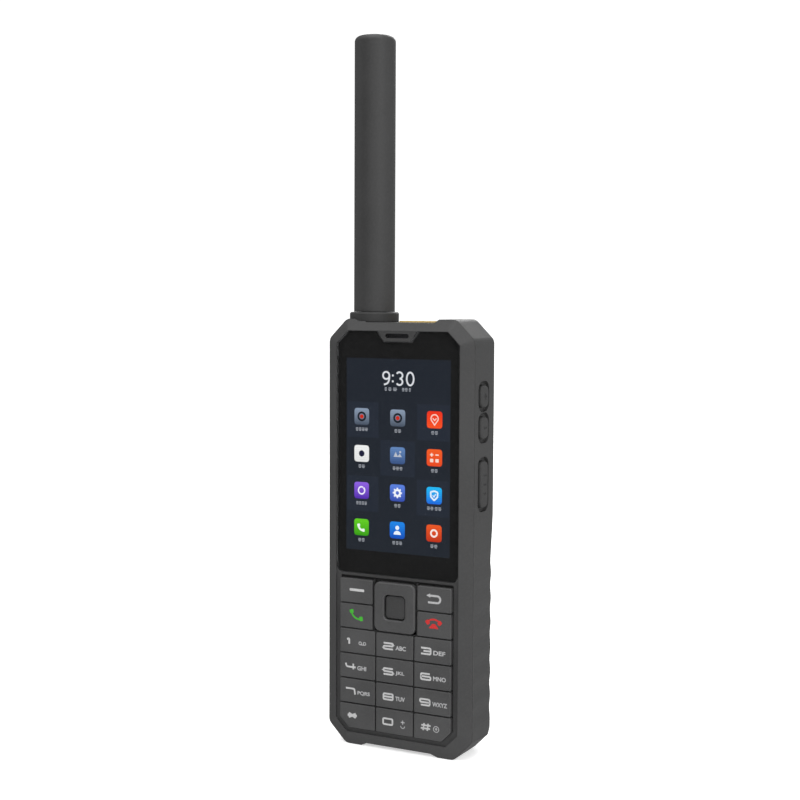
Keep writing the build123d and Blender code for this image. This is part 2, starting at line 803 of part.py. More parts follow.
def motor_disc(z, radius):
    """A round outline on the vibration motor axis."""
    with BuildSketch(Plane.XY.offset(z)) as outline:
        with Locations((motor_x, motor_y)):
            Circle(radius)
    return outline.sketch


with BuildPart() as vibration_motor:
    extrude(motor_disc(motor_bottom, 2.3), amount=motor_length)
    extrude(motor_disc(motor_bottom + 4, 0.5), amount=motor_length, mode=Mode.SUBTRACT)
save(vibration_motor.part, "vibration_motor")

with BuildPart() as vibration_weight:
    extrude(motor_disc(motor_bottom + motor_length + 0.6, 2.2), amount=3)
    with BuildSketch(Plane.XY.offset(motor_bottom + motor_length + 0.6)):
        with Locations((motor_x, motor_y - 2.5)):
            Rectangle(6, 3.6)
    extrude(amount=3, mode=Mode.SUBTRACT)
    extrude(motor_disc(motor_bottom + 4.5, 0.45), amount=10.5)
save(vibration_weight.part, "vibration_weight")

# ---------------------------------------------------------------- side keys and port
switch_board_x = 24.4
with BuildPart() as side_key_board:
    with BuildSketch(side_plane(switch_board_x)):
        with Locations((side_y, 118.5)):
            Rectangle(8.4, 48)
    extrude(amount=0.8)
    # one tactile switch behind each side key
    for name, z, height in side_key_places:
        with BuildSketch(side_plane(switch_board_x + 0.8)):
            with Locations((side_y, z)):
                RectangleRounded(3.2, 3.2, 0.4)
        extrude(amount=0.9)
        with BuildSketch(side_plane(switch_board_x + 1.7)):
            with Locations((side_y, z)):
                Circle(0.9)
        extrude(amount=0.4)
save(side_key_board.part, "side_key_board")

for name, z, height in side_key_places:
    with BuildPart() as side_key:
        extrude(side_key_sketch(half_width - wall - 0.2, z, height, 0), amount=wall + 0.2 + side_key_rise)
        fillet(side_key.faces().sort_by(Axis.X)[-1].edges(), 0.9)
        extrude(side_key_sketch(half_width - wall - 1.1, z, height, 0.7), amount=1.0)
        # plus, minus or three dashes, sunk into the key's face
        with BuildSketch(side_plane(half_width + side_key_rise)):
            with Locations((side_y, z)):
                if name == "ptt_key":
                    with GridLocations(1, mark_pitch, 1, 3):
                        Rectangle(mark_length, mark_width)
                else:
                    Rectangle(mark_length, mark_width)
                if name == "volume_up_key":
                    Rectangle(mark_width, mark_length)
        extrude(amount=-mark_depth, mode=Mode.SUBTRACT)
    save(side_key.part, name)

with BuildPart() as sos_key:
    extrude(top_key_sketch(body_height - wall - 0.3, 0), amount=sos_top - body_height + wall + 0.3)
    chamfer(sos_key.faces().sort_by(Axis.Z)[-1].edges(), 0.3)
    extrude(top_key_sketch(body_height - wall - 1.2, 0.7), amount=1.1)
save(sos_key.part, "sos_key")

with BuildPart() as usb_socket:
    with BuildSketch(side_plane(-28.3)):
        with Locations((port_y, port_z)):
            RectangleRounded(3.2, 8.94, 1.5)
    extrude(amount=7.3)
    with BuildSketch(side_plane(-28.3)):
        with Locations((port_y, port_z)):
            RectangleRounded(2.56, 8.34, 1.25)
    extrude(amount=6.2, mode=Mode.SUBTRACT)
    with BuildSketch(side_plane(-28.0)):
        with Locations((port_y, port_z)):
            Rectangle(0.7, 6.7)
    extrude(amount=6.5)
save(usb_socket.part, "usb_socket")

flap_inner = -29.3
with BuildPart() as port_cover:
    with BuildSketch(side_plane(-half_width)):
        with Locations(((flap_front + flap_back) / 2, port_z)):
            RectangleRounded(flap_back - flap_front, flap_height - 0.3, 1.2)
    extrude(amount=flap_inner + half_width)
    chamfer(port_cover.faces().sort_by(Axis.X)[0].edges(), 0.4)
    # plug that seals the socket
    with BuildSketch(side_plane(flap_inner)):
        with Locations((port_y, port_z)):
            RectangleRounded(2.9, 8.6, 1.35)
    extrude(amount=0.9)
    # web and barrel of the hinge
    with BuildSketch(Plane.XY.offset(port_z - flap_height / 2 + 1.0)):
        with Locations((pin_x, pin_y)):
            Circle(0.85)
        with Locations((pin_x - 0.05, (flap_back + pin_y) / 2 - 0.1)):
            Rectangle(1.1, pin_y - flap_back + 0.6)
    extrude(amount=flap_height - 2.0)
    with BuildSketch(Plane.XY.offset(port_z - flap_height / 2)):
        with Locations((pin_x, pin_y)):
            Circle(pin_radius + 0.05)
    extrude(amount=flap_height, mode=Mode.SUBTRACT)
save(port_cover.part, "port_cover")

with BuildPart() as port_pin:
    with BuildSketch(Plane.XY.offset(port_z - flap_height / 2 - 1.5)):
        with Locations((pin_x, pin_y)):
            Circle(pin_radius)
    extrude(amount=flap_height + 3.0)
save(port_pin.part, "port_pin")

# ---------------------------------------------------------------- battery and latch
pack_half = bay_half - pack_gap
pack_bottom = bay_bottom + pack_gap
pack_top = bay_top - pack_gap
pack_front = bay_floor + pack_gap
pack_skin = 1.3
pad_back = -ring_front
finger_z = 97.0
pack_mid = (pack_bottom + pack_top) / 2


def pad_sketch(y, inset, radius):
    """Outline of the battery pad at depth y, drawn in from the pack's edge."""
    with BuildSketch(depth_plane(y)) as pad:
        with Locations((0, pack_mid)):
            RectangleRounded(2 * (pack_half - inset), pack_top - pack_bottom - 2 * inset, radius)
    return pad.sketch


with BuildPart() as battery_cover:
    with BuildSketch(depth_plane(pack_front)):
        with Locations((0, pack_mid)):
            Rectangle(2 * pack_half, pack_top - pack_bottom)
    extrude(amount=-(back - 0.05 - pack_front))
    # crowned outer pad, as proud of the back as the navigation ring is of the front
    loft([pad_sketch(back - 0.05, 0.6, 2.0), pad_sketch(pad_back, 2.2, 1.4)], ruled=True)
    with BuildSketch(depth_plane(pack_front)):
        with Locations((0, pack_mid)):
            Rectangle(2 * (pack_half - pack_skin), pack_top - pack_bottom - 2 * pack_skin)
    extrude(amount=-(back - 1.9 - pack_front), mode=Mode.SUBTRACT)
    # finger grooves
    with BuildSketch(depth_plane(pad_back - 0.6)):
        with Locations((0, finger_z)):
            with GridLocations(1, 2.6, 1, 5):
                SlotOverall(24, 1.3)
    extrude(amount=-1, mode=Mode.SUBTRACT)
    # ledge under the latch tongue
    with BuildSketch(depth_plane(11.1)):
        with Locations((0, pack_top)):
            Rectangle(2 * tongue_half + 1.0, 3.6)
    extrude(amount=-4, mode=Mode.SUBTRACT)
    # hooks at the foot
    with BuildSketch(depth_plane(bay_floor + 0.6)):
        with Locations((-hook_x, pack_bottom - 0.5), (hook_x, pack_bottom - 0.5)):
            Rectangle(6.0, 1.2)
    extrude(amount=-1.4)
save(battery_cover.part, "battery_cover")

with BuildPart() as battery_cell:
    with BuildSketch(depth_plane(pack_front)):
        with Locations((0, pack_mid)):
            RectangleRounded(2 * (pack_half - pack_skin) - 0.2,
                             pack_top - pack_bottom - 2 * pack_skin - 3.4, 1.5)
    extrude(amount=-(back - 2.0 - pack_front))
save(battery_cell.part, "battery_cell")

with BuildPart() as battery_latch:
    with BuildSketch(depth_plane(latch_front)):
        with Locations((0, (latch_bottom + latch_top) / 2)):
            Rectangle(2 * latch_half, latch_top - latch_bottom)
    extrude(amount=-(back - 0.1 - latch_front))
    chamfer(battery_latch.faces().sort_by(Axis.Y)[-1].edges(), 0.4)
    with BuildSketch(depth_plane(latch_front)):
        with Locations((0, (latch_bottom + latch_top) / 2)):
            Rectangle(2 * latch_half + 2.0, latch_top - latch_bottom)
    extrude(amount=-1.0)
    with BuildSketch(depth_plane(11.3)):
        with Locations((0, latch_bottom - 1.1)):
            Rectangle(2 * tongue_half, 2.6)
    extrude(amount=-1.1)
    with BuildSketch(depth_plane(back - 0.6)):
        with Locations((0, (latch_bottom + latch_top) / 2)):
            with GridLocations(1, 1.6, 1, 4):
                Rectangle(12, 0.7)
    extrude(amount=-1, mode=Mode.SUBTRACT)
save(battery_latch.part, "battery_latch")

# ---------------------------------------------------------------- antenna
pin_low = 160.4
flange_low = socket_top + 0.1
flange_high = 167.2
neck_radius = 5.0
with BuildPart() as antenna_socket:
    add(rod(152, socket_top, socket_radius))
    add(rod(161.6, body_height - wall, socket_radius + 2.0))
    add(rod(159.4, 170, 1.0), mode=Mode.SUBTRACT)
save(antenna_socket.part, "antenna_socket")

with BuildPart() as antenna_seal:
    add(rod(boss_top, boss_top + 0.7, 7.2))
    add(rod(boss_top, boss_top + 0.7, 6.4), mode=Mode.SUBTRACT)
save(antenna_seal.part, "antenna_seal")

with BuildPart() as antenna_collar:
    add(rod(collar_bottom, collar_top, collar_radius))
    chamfer(antenna_collar.faces().sort_by(Axis.Z)[-1].edges(), 0.5)
    add(rod(collar_bottom, flange_high + 0.05, socket_radius + running_gap), mode=Mode.SUBTRACT)
    add(rod(collar_bottom, collar_top, neck_radius + running_gap), mode=Mode.SUBTRACT)
    add(rod(collar_bottom, boss_top + 0.8, 7.4), mode=Mode.SUBTRACT)
save(antenna_collar.part, "antenna_collar")

with BuildPart() as antenna_base:
    add(rod(pin_low, flange_low, 0.9))
    add(rod(flange_low, flange_high, socket_radius - 0.1))
    add(rod(flange_high, antenna_bottom, neck_radius))
    add(rod(antenna_bottom, antenna_bottom + 5, 6.25))
save(antenna_base.part, "antenna_base")

with BuildPart() as antenna_tube:
    add(rod(antenna_bottom, antenna_top, antenna_radius))
    fillet(antenna_tube.faces().sort_by(Axis.Z)[-1].edges(), 2.2)
    add(rod(antenna_bottom, antenna_top - 4.5, 6.3), mode=Mode.SUBTRACT)
save(antenna_tube.part, "antenna_tube")

core_low = antenna_bottom + 5.2
core_high = antenna_top - 8
helix_turns = 0.75
helix_height = 84.0
helix_start = Location((antenna_x, antenna_y, core_low + 3))
with BuildLine() as winding:
    Helix(pitch=helix_height / helix_turns, height=helix_height, radius=5.45)
with BuildSketch(Plane(origin=winding.line @ 0, z_dir=winding.line % 0)) as wire:
    Circle(0.35)
one_arm = sweep(wire.sketch, path=winding.line)

with BuildPart() as antenna_element:
    add(rod(core_low, core_high, 5.0))
    add(rod(core_low, core_high, 4.2), mode=Mode.SUBTRACT)
    with Locations(helix_start):
        with PolarLocations(0, 4):
            add(one_arm)
save(antenna_element.part, "antenna_element")

print(len(pieces), "pieces written")
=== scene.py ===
"""Looks of the rugged satellite phone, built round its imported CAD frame.

Metres, in the part's own frame: X to the user's right, Y from the front face to the back, Z up.
Marks and screen content are drawn in millimetres on a plane that lies on the surface they belong to.
"""

import json
import math

import bmesh
import bpy
from mathutils import Matrix, Vector


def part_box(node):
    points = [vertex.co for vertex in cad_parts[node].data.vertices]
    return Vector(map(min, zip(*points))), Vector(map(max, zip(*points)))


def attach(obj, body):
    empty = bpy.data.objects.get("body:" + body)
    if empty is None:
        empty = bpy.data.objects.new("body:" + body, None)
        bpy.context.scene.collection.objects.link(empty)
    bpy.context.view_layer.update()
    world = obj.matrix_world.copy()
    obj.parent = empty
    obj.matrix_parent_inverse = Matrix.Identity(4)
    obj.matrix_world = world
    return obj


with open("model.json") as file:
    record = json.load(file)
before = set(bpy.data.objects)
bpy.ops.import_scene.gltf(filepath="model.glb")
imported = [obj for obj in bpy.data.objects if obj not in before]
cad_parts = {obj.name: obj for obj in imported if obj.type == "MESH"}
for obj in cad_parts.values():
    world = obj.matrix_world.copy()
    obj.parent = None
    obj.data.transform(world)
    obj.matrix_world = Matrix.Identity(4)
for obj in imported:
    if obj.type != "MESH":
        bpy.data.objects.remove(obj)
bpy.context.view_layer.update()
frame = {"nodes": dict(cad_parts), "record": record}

MM = 0.001
ARC_STEPS = 5            # straight pieces in a rounded corner
CIRCLE_STEPS = 40
TURN_STEPS = 48          # faces round a turned piece
MERGE_DISTANCE = 1e-7    # metres
ROOT = "root"


# ---------------------------------------------------------------- colours
def linear(value):
    """One display value from 0 to 255 as scene light."""
    share = value / 255
    return share / 12.92 if share <= 0.04045 else ((share + 0.055) / 1.055) ** 2.4


def colour(red, green, blue):
    """A display colour as a shader colour."""
    return (linear(red), linear(green), linear(blue), 1.0)


def scaled(tint, factor):
    """A shader colour made lighter or darker."""
    return tuple(channel * factor for channel in tint[:3]) + (1.0,)


# ---------------------------------------------------------------- materials
PIXEL = 0.00012          # pitch of the display's rows
PIXEL_GRID = 0.10        # how much darker the gaps between rows are
SCREEN_BASE = 0.05       # how much of a lit patch's colour it shows when lit from outside
EDGE_SAMPLES = 6
EDGE_WEAR = 1.35         # how much lighter moulded edges are rubbed
PATCH = 0.022            # size of the slow drift in colour and sheen, in metres
RUB = 0.006              # size of the worn stretches along an edge, in metres
CASE = (0.027, 0.027, 0.0273, 1.0)
KEYS = (0.041, 0.041, 0.0415, 1.0)
ANTENNA = (0.021, 0.021, 0.0212, 1.0)
BLACK = (0.0, 0.0, 0.0, 1.0)


class Finish:
    """A node material in the making: one Principled shader and what drives it."""

    def __init__(self, name):
        self.material = bpy.data.materials.new(name)
        self.material.use_nodes = True
        self.tree = self.material.node_tree
        self.shader = self.tree.nodes["Principled BSDF"]
        self.place = self.node("ShaderNodeTexCoord").outputs["Object"]

    def node(self, kind, **settings):
        made = self.tree.nodes.new(kind)
        for name, value in settings.items():
            setattr(made, name, value)
        return made

    def feed(self, socket, value):
        """Link a socket to another, or set it to a plain value."""
        if isinstance(value, bpy.types.NodeSocket):
            self.tree.links.new(value, socket)
        else:
            socket.default_value = value

    def noise(self, size, detail=2.0, stretch=None):
        """Noise from 0 to 1 whose features are about size metres, stretched along an axis if asked."""
        texture = self.node("ShaderNodeTexNoise")
        texture.inputs["Scale"].default_value = 1 / size
        texture.inputs["Detail"].default_value = detail
        source = self.place
        if stretch:
            mapping = self.node("ShaderNodeMapping")
            mapping.inputs["Scale"].default_value = stretch
            self.feed(mapping.inputs["Vector"], self.place)
            source = mapping.outputs["Vector"]
        self.feed(texture.inputs["Vector"], source)
        return texture.outputs["Fac"]

    def cells(self, size):
        """Distance to the nearest cell centre, for pebbled grain."""
        texture = self.node("ShaderNodeTexVoronoi")
        texture.inputs["Scale"].default_value = 1 / size
        self.feed(texture.inputs["Vector"], self.place)
        return texture.outputs["Distance"]

    def span(self, source, low, high, to_low, to_high):
        """A value carried from one range to another, clamped, with soft ends."""
        ranged = self.node("ShaderNodeMapRange", interpolation_type="SMOOTHSTEP")
        for name, value in (("Value", source), ("From Min", low), ("From Max", high),
                            ("To Min", to_low), ("To Max", to_high)):
            self.feed(ranged.inputs[name], value)
        return ranged.outputs["Result"]

    def math(self, operation, first, second):
        made = self.node("ShaderNodeMath", operation=operation)
        self.feed(made.inputs[0], first)
        self.feed(made.inputs[1], second)
        return made.outputs[0]

    def mix(self, share, first, second):
        """A colour between two colours."""
        made = self.node("ShaderNodeMix", data_type="RGBA")
        self.feed(made.inputs[0], share)
        self.feed(made.inputs[6], first)
        self.feed(made.inputs[7], second)
        return made.outputs[2]

    def rounded_edges(self, radius):
        """Shading normal that softens sharp edges, and a mask that is 1 on them."""
        bevel = self.node("ShaderNodeBevel", samples=EDGE_SAMPLES)
        bevel.inputs["Radius"].default_value = radius
        geometry = self.node("ShaderNodeNewGeometry")
        turn = self.node("ShaderNodeVectorMath", operation="DOT_PRODUCT")
        self.feed(turn.inputs[0], bevel.outputs["Normal"])
        self.feed(turn.inputs[1], geometry.outputs["Normal"])
        return bevel.outputs["Normal"], self.span(turn.outputs["Value"], 0.80, 0.985, 1.0, 0.0)

    def bump(self, height, depth, normal=None):
        """Raises the surface by height (0 to 1) times depth in metres."""
        made = self.node("ShaderNodeBump")
        made.inputs["Strength"].default_value = 1.0
        made.inputs["Distance"].default_value = depth
        self.feed(made.inputs["Height"], height)
        if normal is not None:
            self.feed(made.inputs["Normal"], normal)
        return made.outputs["Normal"]

    def set(self, **values):
        """Set or link shader sockets by name, with _ for a space."""
        for name, value in values.items():
            self.feed(self.shader.inputs[name.replace("_", " ")], value)


def moulded(name, tint, roughness, grain=0.00035, depth=0.000012, specular=0.35, edge=0.0003, drift=0.10):
    """Moulded plastic or rubber: pebbled grain, slow colour drift, and edges rubbed lighter and smoother."""
    finish = Finish(name)
    normal, rim = finish.rounded_edges(edge)
    patches = finish.noise(PATCH, 3.0)
    speck = finish.noise(grain * 2.2, 2.0)
    cloud = finish.span(patches, 0.3, 0.7, 0.0, 1.0)
    body = finish.mix(cloud, scaled(tint, 1 - drift), scaled(tint, 1 + drift))
    body = finish.mix(finish.span(speck, 0.35, 0.75, 0.0, 0.30), body, scaled(tint, 1.45))
    rubbed = finish.math("MULTIPLY", rim, finish.span(finish.noise(RUB, 4.0), 0.35, 0.65, 0.25, 1.0))
    body = finish.mix(rubbed, body, scaled(tint, EDGE_WEAR))
    sheen = finish.span(patches, 0.25, 0.75, roughness - 0.05, roughness + 0.05)
    sheen = finish.math("SUBTRACT", sheen, finish.math("MULTIPLY", rubbed, 0.12))
    height = finish.math("ADD", finish.cells(grain), finish.math("MULTIPLY", speck, 0.8))
    finish.set(Base_Color=body, Roughness=sheen, Normal=finish.bump(height, depth, normal))
    finish.set(Specular_IOR_Level=specular)
    return finish.material


def metal(name, tint, roughness, stretch=None, metallic=1.0):
    """Metal with a fine directional or cast grain and slightly darker stains."""
    finish = Finish(name)
    normal, rim = finish.rounded_edges(0.00012)
    grain = finish.noise(0.00025, 3.0, stretch)
    stain = finish.noise(0.007, 4.0)
    body = finish.mix(finish.span(stain, 0.35, 0.7, 0.0, 1.0), tint, scaled(tint, 0.72))
    body = finish.mix(rim, body, scaled(tint, 1.2))
    finish.set(Base_Color=body, Metallic=metallic)
    finish.set(Roughness=finish.span(grain, 0.3, 0.7, roughness - 0.08, roughness + 0.10))
    finish.set(Normal=finish.bump(grain, 0.000006, normal))
    return finish.material


def circuit_board(name, tint):
    """Solder mask with copper tracks showing through as slightly raised, lighter lines."""
    finish = Finish(name)
    tracks = finish.node("ShaderNodeTexBrick", offset=0.37, squash=1.0)
    tracks.inputs["Scale"].default_value = 260
    tracks.inputs["Mortar Size"].default_value = 0.03
    tracks.inputs["Color1"].default_value = tint
    tracks.inputs["Color2"].default_value = scaled(tint, 0.8)
    tracks.inputs["Mortar"].default_value = scaled(tint, 2.2)
    finish.feed(tracks.inputs["Vector"], finish.place)
    cloud = finish.noise(0.01, 3.0)
    finish.set(Base_Color=finish.mix(finish.span(cloud, 0.3, 0.7, 0.0, 0.5), tracks.outputs["Color"], tint))
    finish.set(Roughness=finish.span(cloud, 0.3, 0.7, 0.22, 0.34))
    finish.set(Normal=finish.bump(tracks.outputs["Fac"], 0.00001))
    return finish.material


def clear_glass(name, tint, roughness=0.02, smudge=0.05, index=1.48):
    """Clear glass with faint smears that only change how sharply it reflects."""
    finish = Finish(name)
    smear = finish.noise(0.012, 5.0, (1.0, 1.0, 0.45))
    finish.set(Base_Color=tint, Transmission_Weight=1.0, IOR=index)
    finish.set(Roughness=finish.span(smear, 0.52, 0.78, roughness, roughness + smudge))
    finish.set(Specular_IOR_Level=0.5)
    return finish.material


def lit_pixels(name, top, bottom, high, low):
    """A lit patch of the display: a vertical gradient from top to bottom colour, with a faint pixel grid."""
    finish = Finish(name)
    parts = finish.node("ShaderNodeSeparateXYZ")
    finish.feed(parts.inputs[0], finish.place)
    share = finish.node("ShaderNodeMapRange")
    for socket, value in (("Value", parts.outputs["Z"]), ("From Min", low), ("From Max", high)):
        finish.feed(share.inputs[socket], value)
    body = finish.mix(share.outputs["Result"], bottom, top)
    grid = finish.node("ShaderNodeTexWave", wave_type="BANDS", bands_direction="Z")
    grid.inputs["Scale"].default_value = 1 / (20 * PIXEL)
    finish.feed(grid.inputs["Vector"], finish.place)
    body = finish.mix(finish.math("MULTIPLY", grid.outputs["Fac"], PIXEL_GRID), body, BLACK)
    finish.set(Base_Color=scaled(bottom, SCREEN_BASE), Emission_Color=body, Emission_Strength=1.0)
    finish.set(Roughness=0.5, Specular_IOR_Level=0.1)
    return finish.material


def clear_coated(name):
    """A dark lens whose coating's violet-green reflection is painted into its colour, shifting with the angle
    of view.
    """
    finish = Finish(name)
    edge = finish.node("ShaderNodeLayerWeight")
    edge.inputs["Blend"].default_value = 0.45
    # painted reflection: the coating's tint is put in the base colour and changes with the angle of view
    painted_coating_reflection = finish.mix(edge.outputs["Facing"], (0.012, 0.010, 0.030, 1.0), (0.020, 0.050, 0.045, 1.0))
    finish.set(Base_Color=painted_coating_reflection, Roughness=0.06, Specular_IOR_Level=0.7)
    finish.set(Coat_Weight=0.6, Coat_Roughness=0.03)
    return finish.material


def woven(name, tint, pitch):
    """Fine plain weave: two sets of threads that cross."""
    finish = Finish(name)
    threads = []
    for direction in ("X", "Z"):
        wave = finish.node("ShaderNodeTexWave", wave_type="BANDS", bands_direction=direction)
        wave.inputs["Scale"].default_value = math.pi / (10 * pitch)
        finish.feed(wave.inputs["Vector"], finish.place)
        threads.append(wave.outputs["Fac"])
    height = finish.math("MAXIMUM", *threads)
    # the gaps between threads are painted darker as shade, and the crossing threads lighter as painted light
    finish.set(Base_Color=finish.mix(height, scaled(tint, 0.5), scaled(tint, 2.2)), Roughness=0.85)
    finish.set(Normal=finish.bump(height, 0.00006))
    return finish.material


def print_ink(name, tint, specular=0.4):
    """Screen-printed ink: slightly uneven cover and a soft sheen."""
    finish = Finish(name)
    cover = finish.noise(0.0006, 3.0)
    finish.set(Base_Color=finish.mix(finish.span(cover, 0.35, 0.7, 0.0, 1.0), tint, scaled(tint, 0.82)))
    finish.set(Roughness=finish.span(cover, 0.3, 0.7, 0.42, 0.56), Normal=finish.bump(cover, 0.000006))
    finish.set(Specular_IOR_Level=specular)
    return finish.material


slot_materials = {
    "case_plastic": moulded("case_plastic", CASE, 0.56),
    "key_plastic": moulded("key_plastic", KEYS, 0.50, grain=0.00022, depth=0.000006, edge=0.00022),
    "antenna_plastic": moulded("antenna_plastic", ANTENNA, 0.50, grain=0.0004, depth=0.000008),
    "amber_plastic": moulded("amber_plastic", colour(160, 134, 68), 0.50, grain=0.0003, drift=0.06),
    "dark_rubber": moulded("dark_rubber", (0.030, 0.030, 0.031, 1.0), 0.70, depth=0.00002, specular=0.25),
    "mat_rubber": moulded("mat_rubber", (0.022, 0.022, 0.0223, 1.0), 0.75, specular=0.2),
    "module_black": moulded("module_black", (0.012, 0.012, 0.012, 1.0), 0.5, grain=0.0002),
    "ceramic": moulded("ceramic", colour(214, 208, 194), 0.55, depth=0.000005),
    "cell_wrap": moulded("cell_wrap", (0.04, 0.05, 0.09, 1.0), 0.35, grain=0.0006, depth=0.000004),
    "frame_alloy": metal("frame_alloy", (0.62, 0.63, 0.65, 1.0), 0.42),
    "steel": metal("steel", (0.56, 0.56, 0.58, 1.0), 0.30, (1.0, 1.0, 14.0)),
    "black_steel": metal("black_steel", (0.045, 0.045, 0.048, 1.0), 0.38, metallic=0.8),
    "gold_contact": metal("gold_contact", (0.83, 0.62, 0.25, 1.0), 0.24),
    "circuit_board": circuit_board("circuit_board", (0.01, 0.05, 0.03, 1.0)),
    "cover_glass": clear_glass("cover_glass", (0.93, 0.94, 0.95, 1.0), smudge=0.012, index=1.25),
    "lens_glass": clear_glass("lens_glass", (0.80, 0.84, 0.90, 1.0), smudge=0.0, index=1.2),
    "lens_clear": clear_glass("lens_clear", (0.95, 0.93, 0.86, 1.0), 0.18),
}
legend_ink = print_ink("legend_ink", colour(163, 163, 163))
faint_ink = print_ink("faint_ink", colour(152, 152, 153))
call_ink = print_ink("call_ink", colour(48, 152, 28))
end_ink = print_ink("end_ink", colour(174, 21, 21))
white_paint = print_ink("white_paint", colour(225, 225, 220))
phosphor = print_ink("phosphor", colour(226, 196, 70))
lens_coating = clear_coated("lens_coating")
dust_cloth = woven("dust_cloth", (0.006, 0.006, 0.0065, 1.0), 0.00035)
# dark fill for the side keys' sunk marks: painted shade inside the recesses
recess_painted_shade = print_ink("recess_painted_shade", colour(38, 38, 39), specular=0.2)
border_print = print_ink("border_print", colour(22, 22, 22), specular=0.05)


# ---------------------------------------------------------------- outlines in millimetres
def rectangle(x, z, width, height):
    half_w, half_h = width / 2, height / 2
    signs = ((-1, -1), (1, -1), (1, 1), (-1, 1))
    return [(x + across * half_w, z + up * half_h) for across, up in signs]


def oval(x, z, half_w, half_h, steps):
    turns = (2 * math.pi * step / steps for step in range(steps))
    return [(x + half_w * math.cos(turn), z + half_h * math.sin(turn)) for turn in turns]


def circle(x, z, radius, steps=CIRCLE_STEPS):
    return oval(x, z, radius, radius, steps)


def arc(x, z, radius, start, end, steps=16):
    """Points along an arc, with its angles in degrees."""
    turns = (math.radians(start + (end - start) * step / steps) for step in range(steps + 1))
    return [(x + radius * math.cos(turn), z + radius * math.sin(turn)) for turn in turns]


def softened(points, radius, closed=True):
    """The outline with each corner rounded by up to radius."""
    made = []
    count = len(points)
    for index, point in enumerate(points):
        if not closed and index in (0, count - 1):
            made.append(point)
            continue
        corner = Vector(point)
        before = Vector(points[index - 1]) - corner
        after = Vector(points[(index + 1) % count]) - corner
        cut = min(radius, before.length / 2, after.length / 2)
        start = corner + before.normalized() * cut
        end = corner + after.normalized() * cut
        for step in range(ARC_STEPS + 1):
            share = step / ARC_STEPS
            made.append(tuple(start.lerp(corner, share).lerp(corner.lerp(end, share), share)))
    return made


def moved(points, x, z, size=1.0, turn=0.0):
    """Points turned by turn degrees, scaled, and moved."""
    cos, sin = math.cos(math.radians(turn)), math.sin(math.radians(turn))
    return [(x + size * (cos * u - sin * v), z + size * (sin * u + cos * v)) for u, v in points]


def middle_of(node):
    """Middle of a node across and up, in millimetres."""
    low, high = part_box(node)
    return (low.x + high.x) / 2 / MM, (low.z + high.z) / 2 / MM


# ---------------------------------------------------------------- surfaces that marks lie on
def surface(origin, right, up):
    """A plane's matrix: marks are drawn along right and up, and stand out along right x up."""
    right, up = Vector(right), Vector(up)
    matrix = Matrix((right, up, right.cross(up))).transposed().to_4x4()
    matrix.translation = Vector(origin)
    return matrix


def front_surface(y):
    return surface((0, y, 0), (1, 0, 0), (0, 0, 1))


def right_surface(x):
    return surface((x, 0, 0), (0, 1, 0), (0, 0, 1))


def back_surface(y):
    return surface((0, y, 0), (-1, 0, 0), (0, 0, 1))


